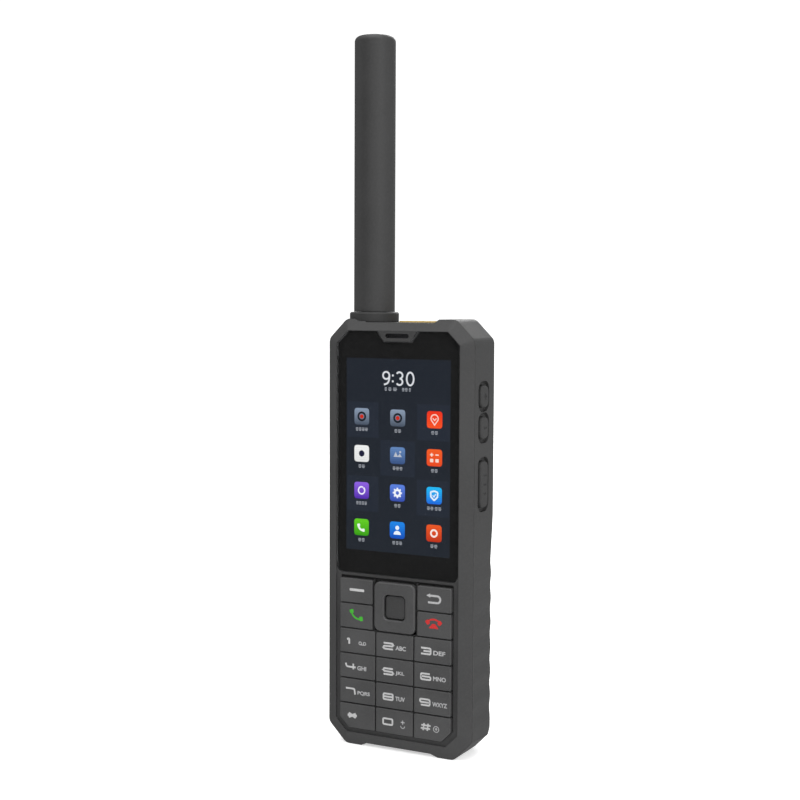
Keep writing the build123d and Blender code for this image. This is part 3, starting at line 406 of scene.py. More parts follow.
class Relief:
    """Thin raised marks on one surface, gathered into one mesh."""

    SINK = 0.004         # how far a mark's back lies inside the surface
    STAGGER = 0.0012     # marks that cross differ this much in height, so no two faces coincide
    LEVELS = 6

    def __init__(self, plane, height, lift=0.0, size=1.0):
        self.plane = plane @ Matrix.Scale(MM * size, 4)
        self.low = lift - self.SINK
        self.high = self.base = lift + height
        self.count = 0
        self.mesh = bmesh.new()

    def stagger(self):
        """The next mark's height."""
        self.high = self.base + self.STAGGER * (self.count % self.LEVELS)
        self.count += 1

    def point(self, x, z, level):
        return self.mesh.verts.new(self.plane @ Vector((x, z, level)))

    def wall(self, top, bottom):
        """Side faces between two closed rings of vertices."""
        for index in range(len(top)):
            after = (index + 1) % len(top)
            self.mesh.faces.new((top[index], bottom[index], bottom[after], top[after]))

    def fill(self, outline):
        """A filled outline, given anticlockwise."""
        self.stagger()
        top = [self.point(x, z, self.high) for x, z in outline]
        bottom = [self.point(x, z, self.low) for x, z in outline]
        self.mesh.faces.new(top)
        self.mesh.faces.new(bottom[::-1])
        self.wall(top, bottom)

    def frame(self, outer, inner):
        """The band between two outlines with the same number of points."""
        self.stagger()
        rings = [[self.point(x, z, level) for x, z in outline]
                 for level in (self.high, self.low) for outline in (outer, inner)]
        outer_top, inner_top, outer_low, inner_low = rings
        self.wall(outer_top, outer_low)
        self.wall(inner_low, inner_top)
        self.wall(inner_top, outer_top)
        self.wall(outer_low, inner_low)

    def stroke(self, points, width, closed=False):
        """A line of even width through the points, with mitred corners."""
        count = len(points)
        left, right = [], []
        for index in range(count):
            here = Vector(points[index])
            sides = []
            if closed or index > 0:
                sides.append(here - Vector(points[index - 1]))
            if closed or index < count - 1:
                sides.append(Vector(points[(index + 1) % count]) - here)
            normals = [Vector((-side.y, side.x)).normalized() for side in sides]
            mitre = sum(normals, Vector((0, 0)))
            mitre = mitre / max(mitre.dot(normals[0]), 0.35)
            left.append(tuple(here + mitre * width / 2))
            right.append(tuple(here - mitre * width / 2))
        if closed:
            self.frame(right, left)
        else:
            self.fill_strip(left, right)

    def fill_strip(self, left, right):
        """A ribbon between two rows of points, closed at its ends."""
        self.stagger()
        rows = [[self.point(x, z, level) for x, z in side]
                for level in (self.high, self.low) for side in (left, right)]
        left_top, right_top, left_low, right_low = rows
        for index in range(len(left) - 1):
            after = index + 1
            self.mesh.faces.new((left_top[index], right_top[index], right_top[after], left_top[after]))
            self.mesh.faces.new((left_low[after], right_low[after], right_low[index], left_low[index]))
            self.mesh.faces.new((left_low[index], left_top[index], left_top[after], left_low[after]))
            self.mesh.faces.new((right_low[after], right_top[after], right_top[index], right_low[index]))
        self.mesh.faces.new((left_top[0], left_low[0], right_low[0], right_top[0]))
        self.mesh.faces.new((right_top[-1], right_low[-1], left_low[-1], left_top[-1]))

    def words(self, text, x, z, height, width, weight):
        """Plain lettering of a set size, with its left edge at x and its middle at z."""
        curve = bpy.data.curves.new("lettering", "FONT")
        curve.body = text
        curve.offset = weight
        curve.extrude = (self.high - self.low) / 2
        shape = bpy.data.objects.new("lettering", curve)
        bpy.context.scene.collection.objects.link(shape)
        flat = bpy.data.meshes.new_from_object(shape)
        low = [min(vertex.co[axis] for vertex in flat.vertices) for axis in (0, 1)]
        high = [max(vertex.co[axis] for vertex in flat.vertices) for axis in (0, 1)]
        size = height / (high[1] - low[1])
        across = width / (high[0] - low[0])
        middle = (self.high + self.low) / 2
        place = Matrix.Translation((x - across * low[0], z - size * (low[1] + high[1]) / 2, middle))
        flat.transform(self.plane @ place @ Matrix.Diagonal((across, size, 1, 1)))
        self.mesh.from_mesh(flat)
        bpy.data.objects.remove(shape)
        bpy.data.meshes.remove(flat)

    def finish(self, name, material, body=ROOT):
        """The marks as one piece that rides on a body."""
        bmesh.ops.recalc_face_normals(self.mesh, faces=self.mesh.faces)
        mesh = bpy.data.meshes.new(name)
        self.mesh.to_mesh(mesh)
        self.mesh.free()
        mesh.materials.append(material)
        piece = bpy.data.objects.new(name, mesh)
        bpy.context.scene.collection.objects.link(piece)
        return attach(piece, body)


# ---------------------------------------------------------------- finishes of the CAD nodes
def dress_frame():
    """Give every CAD node the finish of its slot, or its own: rubber for the side keys, and plastic darkened
    as painted shade for the OK key and the antenna collar.
    """
    own_finish_and_painted_shade = {
        # the OK key's plastic is darkened as painted shade, for the shade in its recess inside the ring
        "ok_key": moulded("ok_key_painted_shade", scaled(KEYS, 0.72), 0.56, grain=0.00022, depth=0.000006),
        # the antenna collar's plastic is darkened as painted shade, for the shadow at the antenna's base
        "antenna_collar": moulded("collar_painted_shade", scaled(ANTENNA, 0.75), 0.52, grain=0.0003),
    }
    side_rubber = moulded("side_key_rubber", scaled(KEYS, 0.68), 0.62, grain=0.0003, specular=0.25)
    for node in ("volume_up_key", "volume_down_key", "ptt_key"):
        own_finish_and_painted_shade[node] = side_rubber
    for row in frame["record"]["subparts"]:
        slots = frame["nodes"][row["node"]].data.materials
        slots.clear()
        slots.append(own_finish_and_painted_shade.get(row["node"], slot_materials[row["material_slot"]]))
    for node in ("cover_glass", "camera_window", "torch_lens"):
        # light comes straight through the glass to what lies behind it
        frame["nodes"][node].visible_shadow = False
        frame["nodes"][node].visible_diffuse = False


# ---------------------------------------------------------------- key legends
INK = 0.025              # height of the printed legends, in millimetres
DIGIT_WIDTH = 4.7
DIGIT_HEIGHT = 2.9
DIGIT_LINE = 0.67
DIGIT_CORNER = 0.55      # radius of the strokes' corners
OWN_LINES = {"1": 0.78, "*": 0.9, "#": 0.6}    # strokes that differ from the other digits'
LETTER_HEIGHT = 1.7
LETTER_WEIGHT = 0.028    # how much the letters are thickened, in units of the font
LETTER_DROP = 0.35       # letters sit a little below the middle of their digit
DIGIT_DROP = 0.25        # digits sit a little below the middle of their key
LETTER_GAP = 0.75
BEND_LINE = 0.78         # stroke of the back key's arrow
BEND_RISE = 0.15         # this arrow and the end key's mark sit above the middle of their keys
END_RISE = 0.5
HANDSET_LINE = 0.66
HANDSET_BLOCK = 0.24     # size of the blocks at a handset's ends, as a share of its length

# strokes on a unit square; True closes the stroke
GLYPHS = {
    "0": [([(0, 0), (1, 0), (1, 1), (0, 1)], True)],
    "1": [([(0.0, 0.84), (0.28, 1), (0.28, 0)], False)],
    "2": [([(0, 1), (1, 1), (1, 0.52), (0, 0.48), (0, 0), (1, 0)], False)],
    "3": [([(0, 1), (1, 1), (1, 0), (0, 0)], False), ([(0.25, 0.5), (1, 0.5)], False)],
    "4": [([(0.0, 1), (0.1, 0.4), (1, 0.4)], False), ([(0.76, 1), (0.76, 0)], False)],
    "5": [([(1, 1), (0, 1), (0, 0.52), (1, 0.48), (1, 0), (0, 0)], False)],
    "6": [([(0.92, 1), (0, 1), (0, 0), (1, 0), (1, 0.52), (0, 0.52)], False)],
    "7": [([(0, 1), (0.93, 1), (1, 0)], False)],
    "8": [([(0, 0), (1, 0), (1, 1), (0, 1)], True), ([(0, 0.5), (1, 0.5)], False)],
    "9": [([(0.08, 0), (1, 0), (1, 1), (0, 1), (0, 0.48), (1, 0.48)], False)],
    "*": [([(0.12, 0.12), (0.88, 0.88)], False), ([(0.12, 0.88), (0.88, 0.12)], False),
          ([(0, 0.5), (1, 0.5)], False)],
    "#": [([(0.0, 0.24), (0.95, 0.24)], False), ([(0.05, 0.76), (1, 0.76)], False),
          ([(0.24, -0.1), (0.34, 1.1)], False), ([(0.66, -0.1), (0.76, 1.1)], False)],
}


def glyph(relief, symbol, x, z, width, height, line):
    """One digit with its left edge at x and its middle at z."""
    inner_w, inner_h = width - line, height - line
    for points, closed in GLYPHS[symbol]:
        placed = [(x + line / 2 + u * inner_w, z + (v - 0.5) * inner_h) for u, v in points]
        relief.stroke(softened(placed, DIGIT_CORNER, closed), line, closed)


def letter_group(text, width):
    """A drawing function for the letters beside a digit."""
    def draw(relief, x, z):
        relief.words(text, x, z, LETTER_HEIGHT, width, LETTER_WEIGHT)
    return draw


def tape_mark(relief, x, z):
    """Two small reels joined by a line, the usual mark for stored messages."""
    for side in (0.75, 2.65):
        relief.stroke(circle(x + side, z, 0.55, 18), 0.3, True)
    relief.stroke([(x + 0.75, z - 0.55), (x + 2.65, z - 0.55)], 0.3)


def plus_mark(relief, x, z):
    """A plus over a small open cup."""
    x += 1.9
    relief.stroke([(x + 0.6, z + 0.85), (x + 2.2, z + 0.85)], 0.34)
    relief.stroke([(x + 1.4, z + 0.05), (x + 1.4, z + 1.65)], 0.34)
    relief.stroke(arc(x + 1.4, z - 0.55, 0.85, 180, 360), 0.3)


def shift_mark(relief, x, z):
    """An outlined arrow in a small ring."""
    relief.stroke(circle(x + 1.3, z, 1.1, 24), 0.28, True)
    relief.stroke([(x + 0.85, z - 0.1), (x + 1.3, z + 0.45), (x + 1.75, z - 0.1)], 0.26)
    relief.stroke([(x + 1.3, z + 0.4), (x + 1.3, z - 0.6)], 0.26)


# node: (glyph, glyph width, second mark, where the legend starts from the key's own left edge, drop)
KEY_LEGENDS = {
    "key_1": ("1", DIGIT_WIDTH * 0.9, tape_mark, 2.7, DIGIT_DROP),
    "key_2": ("2", DIGIT_WIDTH, letter_group("ABC", 4.4), 3.0, DIGIT_DROP),
    "key_3": ("3", DIGIT_WIDTH, letter_group("DEF", 5.0), 2.6, DIGIT_DROP),
    "key_4": ("4", DIGIT_WIDTH * 1.08, letter_group("GHI", 3.9), 2.2, DIGIT_DROP),
    "key_5": ("5", DIGIT_WIDTH, letter_group("JKL", 3.8), 3.0, DIGIT_DROP),
    "key_6": ("6", DIGIT_WIDTH, letter_group("MNO", 5.3), 2.6, DIGIT_DROP),
    "key_7": ("7", DIGIT_WIDTH, letter_group("PQRS", 5.4), 2.3, DIGIT_DROP),
    "key_8": ("8", DIGIT_WIDTH, letter_group("TUV", 4.1), 3.0, DIGIT_DROP),
    "key_9": ("9", DIGIT_WIDTH, letter_group("WXYZ", 6.2), 2.3, DIGIT_DROP),
    "key_star": ("*", DIGIT_WIDTH * 1.05, None, 3.0, -0.1),
    "key_0": ("0", DIGIT_WIDTH, plus_mark, 2.9, 0.15),
    "key_hash": ("#", DIGIT_WIDTH, shift_mark, 2.7, -0.1),
}


def number_legends():
    for node, (symbol, width, second, indent, drop) in KEY_LEGENDS.items():
        low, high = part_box(node)
        middle = (low.z + high.z) / 2 / MM - drop
        start = low.x / MM + indent
        relief = Relief(front_surface(low.y), INK)
        glyph(relief, symbol, start, middle, width, DIGIT_HEIGHT, OWN_LINES.get(symbol, DIGIT_LINE))
        relief.finish(node + "_legend", legend_ink, node)
        if second:
            small = Relief(front_surface(low.y), INK)
            second(small, start + DIGIT_WIDTH + LETTER_GAP, middle - LETTER_DROP)
            small.finish(node + "_small_legend", faint_ink, node)


def handset(relief, x, z, size, turn, line, block=0.30):
    """A telephone handset seen from the side: a curved grip with a block at each end."""
    grip = moved(arc(0, 0.62, 1.0, 222, 318, 14), x, z, size, turn)
    relief.stroke(grip, line)
    end = softened(rectangle(0, 0, 1.7 * block, 2 * block), 0.5 * block)
    for side in (-1, 1):
        centre = moved([(0.70 * side, -0.04)], x, z, size, turn)[0]
        relief.fill(moved(end, *centre, size, turn + 42 * side))


def function_legends():
    """Marks of the soft, back, call and end keys."""
    face = front_surface(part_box("soft_key")[0].y)

    x, z = middle_of("soft_key")
    dash = Relief(face, INK)
    dash.fill(softened(rectangle(x + 0.3, z + 0.4, 6.4, 1.0), 0.4))
    dash.finish("soft_key_legend", legend_ink, "soft_key")

    x, z = middle_of("back_key")
    z += BEND_RISE
    bend = Relief(face, INK)
    path = [(x - 2.2, z + 1.25), (x + 1.3, z + 1.25)] + arc(x + 1.3, z - 0.05, 1.3, 90, -90, 12)[1:]
    path.append((x - 2.5, z - 1.35))
    bend.stroke(path, BEND_LINE)
    bend.fill([(x - 3.2, z + 1.25), (x - 1.6, z + 0.45), (x - 1.6, z + 2.05)])
    bend.finish("back_key_legend", faint_ink, "back_key")

    x, z = middle_of("call_key")
    lift = Relief(face, INK)
    handset(lift, x + 0.2, z + 0.6, 3.5, -32, HANDSET_LINE, HANDSET_BLOCK)
    lift.finish("call_key_legend", call_ink, "call_key")

    x, z = middle_of("end_key")
    z += END_RISE
    drop = Relief(face, INK)
    handset(drop, x - 0.1, z + 0.4, 3.6, 180, HANDSET_LINE, HANDSET_BLOCK)
    drop.fill(softened([(x - 2.2, z - 1.7), (x + 2.0, z - 1.7), (x + 0.5, z + 0.1), (x - 0.7, z + 0.1)], 0.3))
    drop.finish("end_key_legend", end_ink, "end_key")


# ---------------------------------------------------------------- screen
SHEET = 0.012            # thickness of a drawn layer, in millimetres
LAYER = 0.02             # step from one layer to the next
PRINT_MARGIN = 0.15      # between the edges of the print and of the glass
PRINT_LIFT = -0.012      # the print lies just behind the back of the glass
PRINT_HEIGHT = -0.002
CORNER_CUT = 4.9         # of the print's upper corners
TAB_LOW = 156.9          # the print stops short of the front cover's earpiece tab
TAB_FOOT = 6.1
TAB_HEAD = 9.2
SCREEN_HALF = 22.1
SCREEN_LOW = 77.1
SCREEN_HIGH = 150.8
ICON = 6.4
ICON_RADIUS = 1.3
SYMBOL_SIZE = 0.86
COLUMN_PITCH = 15.5
ROW_PITCH = 14.2
FIRST_ROW = 128.5
LABEL_DROP = 4.9
WORD_GAP = 0.35
CELL_WIDTH = 1.35        # a label's dashes stand in columns about this wide
DASH_HEIGHT = 0.24
TILE_PITCH = 15.0
TILE_WIDTH = 13.6
MIDDLE_TILE_WIDTH = 14.7
TILE_HEIGHT = 13.5
TILE_DROP = 1.15
DOT_RADIUS = 0.8
CLOCK_LEFT = -6.7
CLOCK_MIDDLE = 143.4
CLOCK_HEIGHT = 5.5
CLOCK_LINE = 0.68
DATE_MIDDLE = 139.3


def screen_light(name, top, foot):
    """A finish that runs from one colour at the top of the screen to another at its foot."""
    return lit_pixels(name, top, foot, SCREEN_HIGH * MM, SCREEN_LOW * MM)


def flat_light(name, tint):
    return screen_light(name, tint, tint)


def icon_place(column, row):
    """Middle of an icon; columns are -1, 0, 1 and rows 0 to 3 from the top."""
    return column * COLUMN_PITCH, FIRST_ROW - row * ROW_PITCH


def lens_symbol(relief, x, z):
    relief.stroke(circle(x, z, 1.75), 0.9, True)


def pin_symbol(relief, x, z):
    head = arc(x, z + 0.45, 1.75, -18, 198, 20)
    relief.stroke(head + [(x, z - 2.3)], 0.5, True)
    relief.stroke([(x - 0.9, z + 0.6), (x, z - 0.3), (x + 0.9, z + 0.6)], 0.45)


def eye_symbol(relief, x, z):
    relief.fill(circle(x, z, 1.4))


def picture_symbol(relief, x, z):
    relief.fill([(x - 2.0, z - 0.6), (x + 0.2, z - 0.6), (x - 0.9, z + 1.6)])
    relief.fill([(x - 0.2, z - 0.6), (x + 2.1, z - 0.6), (x + 1.1, z + 0.9)])
    relief.fill(circle(x + 1.3, z + 1.6, 0.5, 16))


def calculator_symbol(relief, x, z):
    relief.stroke([(x - 2.1, z + 1.25), (x - 0.5, z + 1.25)], 0.55)
    relief.stroke([(x - 1.3, z + 0.45), (x - 1.3, z + 2.05)], 0.55)
    relief.stroke([(x + 0.5, z + 1.25), (x + 2.1, z + 1.25)], 0.55)
    for side in (-1.3, 1.3):
        relief.fill(softened(rectangle(x + side, z - 1.25, 1.6, 1.5), 0.3))


def ring_symbol(relief, x, z):
    relief.stroke(circle(x, z, 1.45), 0.8, True)


def orbit_symbol(relief, x, z):
    relief.stroke(arc(x, z, 1.6, 60, 395, 28), 0.65)
    relief.fill(circle(x + 1.25, z + 0.95, 0.45, 16))


def gear_symbol(relief, x, z):
    relief.stroke(circle(x, z, 1.3), 0.95, True)
    for tooth in range(8):
        block = moved(rectangle(1.95, 0, 0.7, 0.72), x, z, 1.0, 45 * tooth)
        relief.fill(block)


def shield_symbol(relief, x, z):
    relief.stroke(softened([(x - 1.7, z + 1.5), (x, z + 2.0), (x + 1.7, z + 1.5), (x + 1.6, z - 0.6),
                            (x, z - 2.1), (x - 1.6, z - 0.6)], 0.4), 0.75, True)
    relief.stroke([(x - 0.7, z + 0.1), (x - 0.1, z - 0.6), (x + 0.8, z + 0.7)], 0.45)


def handset_symbol(relief, x, z):
    handset(relief, x - 0.15, z - 0.15, 2.35, -42, 0.95)


def person_symbol(relief, x, z):
    relief.fill(circle(x, z + 1.05, 0.95, 24))
    relief.fill(softened([(x - 1.9, z - 2.0), (x + 1.9, z - 2.0), (x + 1.5, z - 0.9), (x + 0.5, z - 0.3),
                          (x - 0.5, z - 0.3), (x - 1.5, z - 0.9)], 0.35))


# name: (column, row, colour at the top, colour at the foot, symbol, symbol colour, label widths)
ICONS = {
    "recorder": (-1, 0, (146, 162, 184), (72, 82, 98), lens_symbol, (30, 34, 42), (5.4,)),
    "radio": (0, 0, (146, 162, 184), (72, 82, 98), lens_symbol, (30, 34, 42), (3.0,)),
    "places": (1, 0, (242, 44, 24), (255, 82, 30), pin_symbol, (255, 214, 200), (3.0,)),
    "camera": (-1, 1, (246, 246, 244), (232, 232, 230), eye_symbol, (28, 30, 58), (3.0,)),
    "pictures": (0, 1, (104, 142, 196), (56, 82, 132), picture_symbol, (190, 196, 206), (4.4,)),
    "calculator": (1, 1, (250, 96, 34), (240, 74, 30), calculator_symbol, (255, 224, 208), (3.0,)),
    "browser": (-1, 2, (152, 104, 236), (84, 44, 176), orbit_symbol, (246, 240, 255), (4.8,)),
    "settings": (0, 2, (96, 136, 232), (54, 78, 176), gear_symbol, (246, 248, 255), (2.9,)),
    "guard": (1, 2, (32, 196, 255), (28, 104, 226), shield_symbol, (232, 246, 255), (2.9, 2.9)),
    "dialler": (-1, 3, (106, 216, 34), (56, 160, 18), handset_symbol, (244, 255, 238), (3.0,)),
    "contacts": (0, 3, (30, 142, 240), (16, 78, 190), person_symbol, (240, 248, 255), (4.4,)),
    "music": (1, 3, (246, 92, 36), (196, 50, 20), ring_symbol, (255, 236, 228), (3.2,)),
}
TILES = [(-1, 0), (1, 0), (0, 1), (-1, 2), (1, 2)]


def build_border():
    """The black print on the back of the glass, open where the display shows and round the earpiece tab."""
    glass_low, glass_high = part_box("cover_glass")
    half = glass_high.x / MM - PRINT_MARGIN
    low = glass_low.z / MM + PRINT_MARGIN
    top = glass_high.z / MM - PRINT_MARGIN
    piece = Relief(front_surface(glass_high.y), PRINT_HEIGHT, PRINT_LIFT)
    opening = rectangle(0, (SCREEN_LOW + SCREEN_HIGH) / 2, 2 * SCREEN_HALF, SCREEN_HIGH - SCREEN_LOW)
    shoulder = top - CORNER_CUT
    piece.frame(rectangle(0, (low + shoulder) / 2, 2 * half, shoulder - low), opening)
    piece.fill([(-half, shoulder), (half, shoulder), (half - CORNER_CUT, top), (TAB_HEAD, top),
                (TAB_FOOT, TAB_LOW), (-TAB_FOOT, TAB_LOW), (-TAB_HEAD, top), (CORNER_CUT - half, top)])
    piece.finish("glass_border_print", border_print)


def build_screen():
    """Tiles, icons, labels and clock, each a thin lit sheet in front of the display's face."""
    face = front_surface(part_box("display_module")[0].y)

    tiles = Relief(face, SHEET, LAYER)
    for column, row in TILES:
        width = TILE_WIDTH if column else MIDDLE_TILE_WIDTH
        tiles.fill(rectangle(column * TILE_PITCH, icon_place(column, row)[1] - TILE_DROP, width, TILE_HEIGHT))
    tiles.finish("screen_tiles", flat_light("tile_light", colour(38, 44, 55)))

    text_light = flat_light("text_light", colour(222, 224, 228))
    label_light = flat_light("label_light", colour(176, 180, 188))
    labels = Relief(face, SHEET, 2 * LAYER)
    for name, (column, row, top, foot, symbol, ink, widths) in ICONS.items():
        x, z = icon_place(column, row)
        head, base = (z + ICON / 2) * MM, (z - ICON / 2) * MM
        lit = lit_pixels(name + "_light", colour(*top), colour(*foot), head, base)
        plate = Relief(face, SHEET, 2 * LAYER)
        plate.fill(softened(rectangle(x, z, ICON, ICON), ICON_RADIUS))
        plate.finish(name + "_icon", lit)
        mark = Relief(face @ Matrix.Translation((x * MM, z * MM, 0)), SHEET, 3 * LAYER, SYMBOL_SIZE)
        symbol(mark, 0, 0)
        mark.finish(name + "_symbol", flat_light(name + "_symbol_light", colour(*ink)))
        label_row(labels, x, z - LABEL_DROP, widths)
    labels.finish("screen_labels", label_light)

    record_dots = Relief(face, SHEET, 4 * LAYER)
    for column in (-1, 0):
        x, z = icon_place(column, 0)
        record_dots.fill(circle(x, z, DOT_RADIUS))
    record_dots.finish("record_dots", flat_light("record_dot_light", colour(205, 43, 25)))

    clock = Relief(face, SHEET, 2 * LAYER)
    clock_digits(clock, CLOCK_LEFT, CLOCK_MIDDLE, CLOCK_HEIGHT)
    clock.finish("screen_clock", text_light)
    date = Relief(face, SHEET, 2 * LAYER)
    label_row(date, -3.0, DATE_MIDDLE, (1.2, 1.6, 2.0))
    label_row(date, 3.6, DATE_MIDDLE, (2.6, 1.0))
    date.finish("screen_date", label_light)


def label_row(relief, x, z, widths):
    """Generic stand-ins for lettering: short dashes in place of the words."""
    left = x - (sum(widths) + WORD_GAP * (len(widths) - 1)) / 2
    for width in widths:
        cells = max(1, round(width / CELL_WIDTH))
        pitch = width / cells
        for cell in range(cells):
            middle = left + pitch * (cell + 0.5)
            for level, share in ((0.48, 0.72), (0.0, 0.84), (-0.48, 0.6)):
                relief.fill(rectangle(middle, z + level, share * pitch, DASH_HEIGHT))
        left += width + WORD_GAP


def clock_digits(relief, left, middle, height):
    """The time in light, round figures."""
    for symbol, offset, width in (("9", 0.0, 3.4), ("3", 5.7, 3.3), ("0", 10.1, 3.6)):
        glyph_round(relief, symbol, left + offset, middle, width, height, CLOCK_LINE)
    for dot in (-1.1, 1.1):
        relief.fill(circle(left + 4.55, middle + dot, 0.42, 14))


def glyph_round(relief, symbol, x, z, width, height, line):
    """A tall figure drawn with arcs."""
    half_w, half_h = (width - line) / 2, (height - line) / 2
    centre = x + width / 2
    if symbol == "0":
        relief.stroke(oval(centre, z, half_w, half_h, 36), line, True)
    elif symbol == "9":
        bowl = half_h * 0.56
        top = z + half_h - bowl
        relief.stroke(oval(centre, top, half_w, bowl, 32), line, True)
        tail = [(centre + half_w, top), (centre + half_w, z - 0.1 * half_h),
                (centre + 0.55 * half_w, z - 0.8 * half_h), (centre - 0.7 * half_w, z - half_h)]
        relief.stroke(softened(tail, 1.2, False), line)
    else:
        bowl = half_h / 2
        for side in (1, -1):
            start, end = (150, -88) if side > 0 else (88, -150)
            turns = [math.radians(start + (end - start) * step / 18) for step in range(19)]
            relief.stroke([(centre + half_w * math.cos(turn), z + side * bowl + bowl * math.sin(turn))
                           for turn in turns], line)


# ---------------------------------------------------------------- side, top and back trim
MARK_DEPTH = 0.15        # how deep the side keys' marks are sunk
MARK_LENGTH = 2.4
MARK_WIDTH = 0.6
MARK_PITCH = 3.4
RING_MARGIN = 0.1        # of the camera window's printed ring
RING_BORE = 2.6
RING_DEPTH = 0.04
RING_THICKNESS = 0.03
BORE_DEPTH = 0.8         # of the camera's barrel
BARREL_INNER = 1.7
BARREL_OUTER = 3.0
BARREL_MOUTH = 2.6
BARREL_PROUD = 0.005
BARREL_GAP = 0.1         # between the barrel's mouth and the window
LENS_RADIUS = 1.52
LENS_RISE = 0.6
LENS_RIM = 0.05
LENS_LIFT = 0.02
LENS_STEPS = 8
TORCH_BASE = 2.8
TORCH_BASE_DEPTH = 0.05  # behind the torch's lens
TORCH_CHIP = 1.5
TORCH_CHIP_DEPTH = 0.03
TORCH_SHEET = 0.02
CLOTH_THICKNESS = 0.05
CLOTH_CORNER = 1.0


def side_marks():
    """Dark fill in the marks sunk into the side keys, painted shade for the shade inside them: plus, minus
    and three dashes.
    """
    for node in ("volume_up_key", "volume_down_key", "ptt_key"):
        low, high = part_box(node)
        y = (low.y + high.y) / 2 / MM
        z = (low.z + high.z) / 2 / MM
        paint = Relief(right_surface(high.x - MARK_DEPTH * MM), INK)
        for step in (-1, 0, 1) if node == "ptt_key" else (0,):
            paint.fill(rectangle(y, z + step * MARK_PITCH, MARK_LENGTH, MARK_WIDTH))
        if node == "volume_up_key":
            paint.fill(rectangle(y, z, MARK_WIDTH, MARK_LENGTH))
        paint.finish(node + "_mark", recess_painted_shade, node)


def lathe(name, axis_at, profile, material):
    """A round piece on an axis along Y, from (radius, depth) points in millimetres, closed on itself."""
    mesh = bmesh.new()
    across, up = axis_at
    rings = []
    for step in range(TURN_STEPS):
        turn = 2 * math.pi * step / TURN_STEPS
        rings.append([mesh.verts.new((MM * (across + radius * math.cos(turn)), MM * depth,
                                      MM * (up + radius * math.sin(turn)))) for radius, depth in profile])
    for step, ring in enumerate(rings):
        after = rings[(step + 1) % TURN_STEPS]
        for index in range(len(ring)):
            following = (index + 1) % len(ring)
            mesh.faces.new((ring[index], after[index], after[following], ring[following]))
    bmesh.ops.remove_doubles(mesh, verts=mesh.verts, dist=MERGE_DISTANCE)
    bmesh.ops.recalc_face_normals(mesh, faces=mesh.faces)
    flat = bpy.data.meshes.new(name)
    mesh.to_mesh(flat)
    mesh.free()
    flat.materials.append(material)
    piece = bpy.data.objects.new(name, flat)
    bpy.context.scene.collection.objects.link(piece)
    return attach(piece, ROOT)


def build_camera_optics():
    """A black barrel and a coated lens behind the camera window, and a printed ring in its glass."""
    window_low, window_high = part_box("camera_window")
    inner = window_low.y / MM
    radius = (window_high.x - window_low.x) / 2 / MM - RING_MARGIN
    place = middle_of("camera_window")
    near, far = inner + RING_DEPTH, inner + RING_DEPTH + RING_THICKNESS
    ring = [(RING_BORE, near), (radius, near), (radius, far), (RING_BORE, far)]
    lathe("camera_print_ring", place, ring, border_print)
    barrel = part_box("rear_camera")[1].y / MM
    foot, mouth = barrel + BARREL_PROUD, inner - BARREL_GAP
    funnel = [(BARREL_INNER, foot), (BARREL_OUTER, foot), (BARREL_OUTER, mouth), (BARREL_MOUTH, mouth)]
    lathe("camera_barrel", place, funnel, slot_materials["module_black"])
    root_of_lens = barrel - BORE_DEPTH + LENS_LIFT
    dome = [(0.0, root_of_lens)]
    for step in range(LENS_STEPS + 1):
        turn = math.pi / 2 * step / LENS_STEPS
        dome.append((LENS_RADIUS * math.cos(turn), root_of_lens + LENS_RIM + LENS_RISE * math.sin(turn)))
    lathe("camera_lens", place, dome, lens_coating)


def build_torch_emitter():
    """The torch's light source: a small yellow phosphor square on a white base, behind the frosted lens."""
    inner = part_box("torch_lens")[0].y
    x, z = middle_of("torch_lens")
    base = Relief(back_surface(inner - TORCH_BASE_DEPTH * MM), TORCH_SHEET)
    base.fill(softened(rectangle(-x, z, TORCH_BASE, TORCH_BASE), 0.3))
    base.finish("torch_base", white_paint)
    chip = Relief(back_surface(inner - TORCH_CHIP_DEPTH * MM), TORCH_SHEET)
    chip.fill(softened(rectangle(-x, z, TORCH_CHIP, TORCH_CHIP), 0.15))
    chip.finish("torch_emitter", phosphor)


def build_speaker_cloth():
    """A woven dust cloth just inside the loudspeaker's slots."""
    low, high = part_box("loudspeaker")
    cloth = Relief(back_surface(high.y + 0.02 * MM), CLOTH_THICKNESS)
    x, z = middle_of("loudspeaker")
    width, height = (high.x - low.x) / MM - 1.5, (high.z - low.z) / MM - 1.0
    cloth.fill(softened(rectangle(-x, z, width, height), CLOTH_CORNER))
    cloth.finish("speaker_cloth", dust_cloth)


# ---------------------------------------------------------------- studio
FLOOR_REACH = 12.0
FLOOR_GLOW = 0.50
BACKDROP = 1.1           # the surround as the camera sees it
SURROUND = 1.12          # the surround as a light
# direction, where its lobe starts and is full (cosines), and what share of the light is left in it
SKY = [((-0.46, -0.88, -0.07), 0.80, 0.95, 0.04),
       ((-0.98, 0.05, -0.2), 0.35, 0.9, 0.6),
       ((-0.35, 0.94, 0.0), -0.1, 0.7, 0.45),
       ((0.0, -0.35, 0.94), 0.2, 0.9, 1.3)]
LIT_POINT = (0, 0, 0.1)
# name: (place, side of the square, watts)
SOFT_BOXES = {
    "top_box": ((0.1, -0.3, 1.1), 0.9, 6.0),
    "right_box": ((0.9, -0.5, 0.5), 0.7, 2.0),
    "back_box": ((-0.3, 1.0, 0.9), 0.7, 7.0),
}
CAMERA_PLACE = (0.2517, -0.4898, 0.1723)
CAMERA_YAW = 27.69       # degrees
CAMERA_PITCH = 3.916
CAMERA_ROLL = 0.255
CAMERA_LENS = 64.73
CAMERA_SENSOR = 36.0
CAMERA_NEAR = 0.01


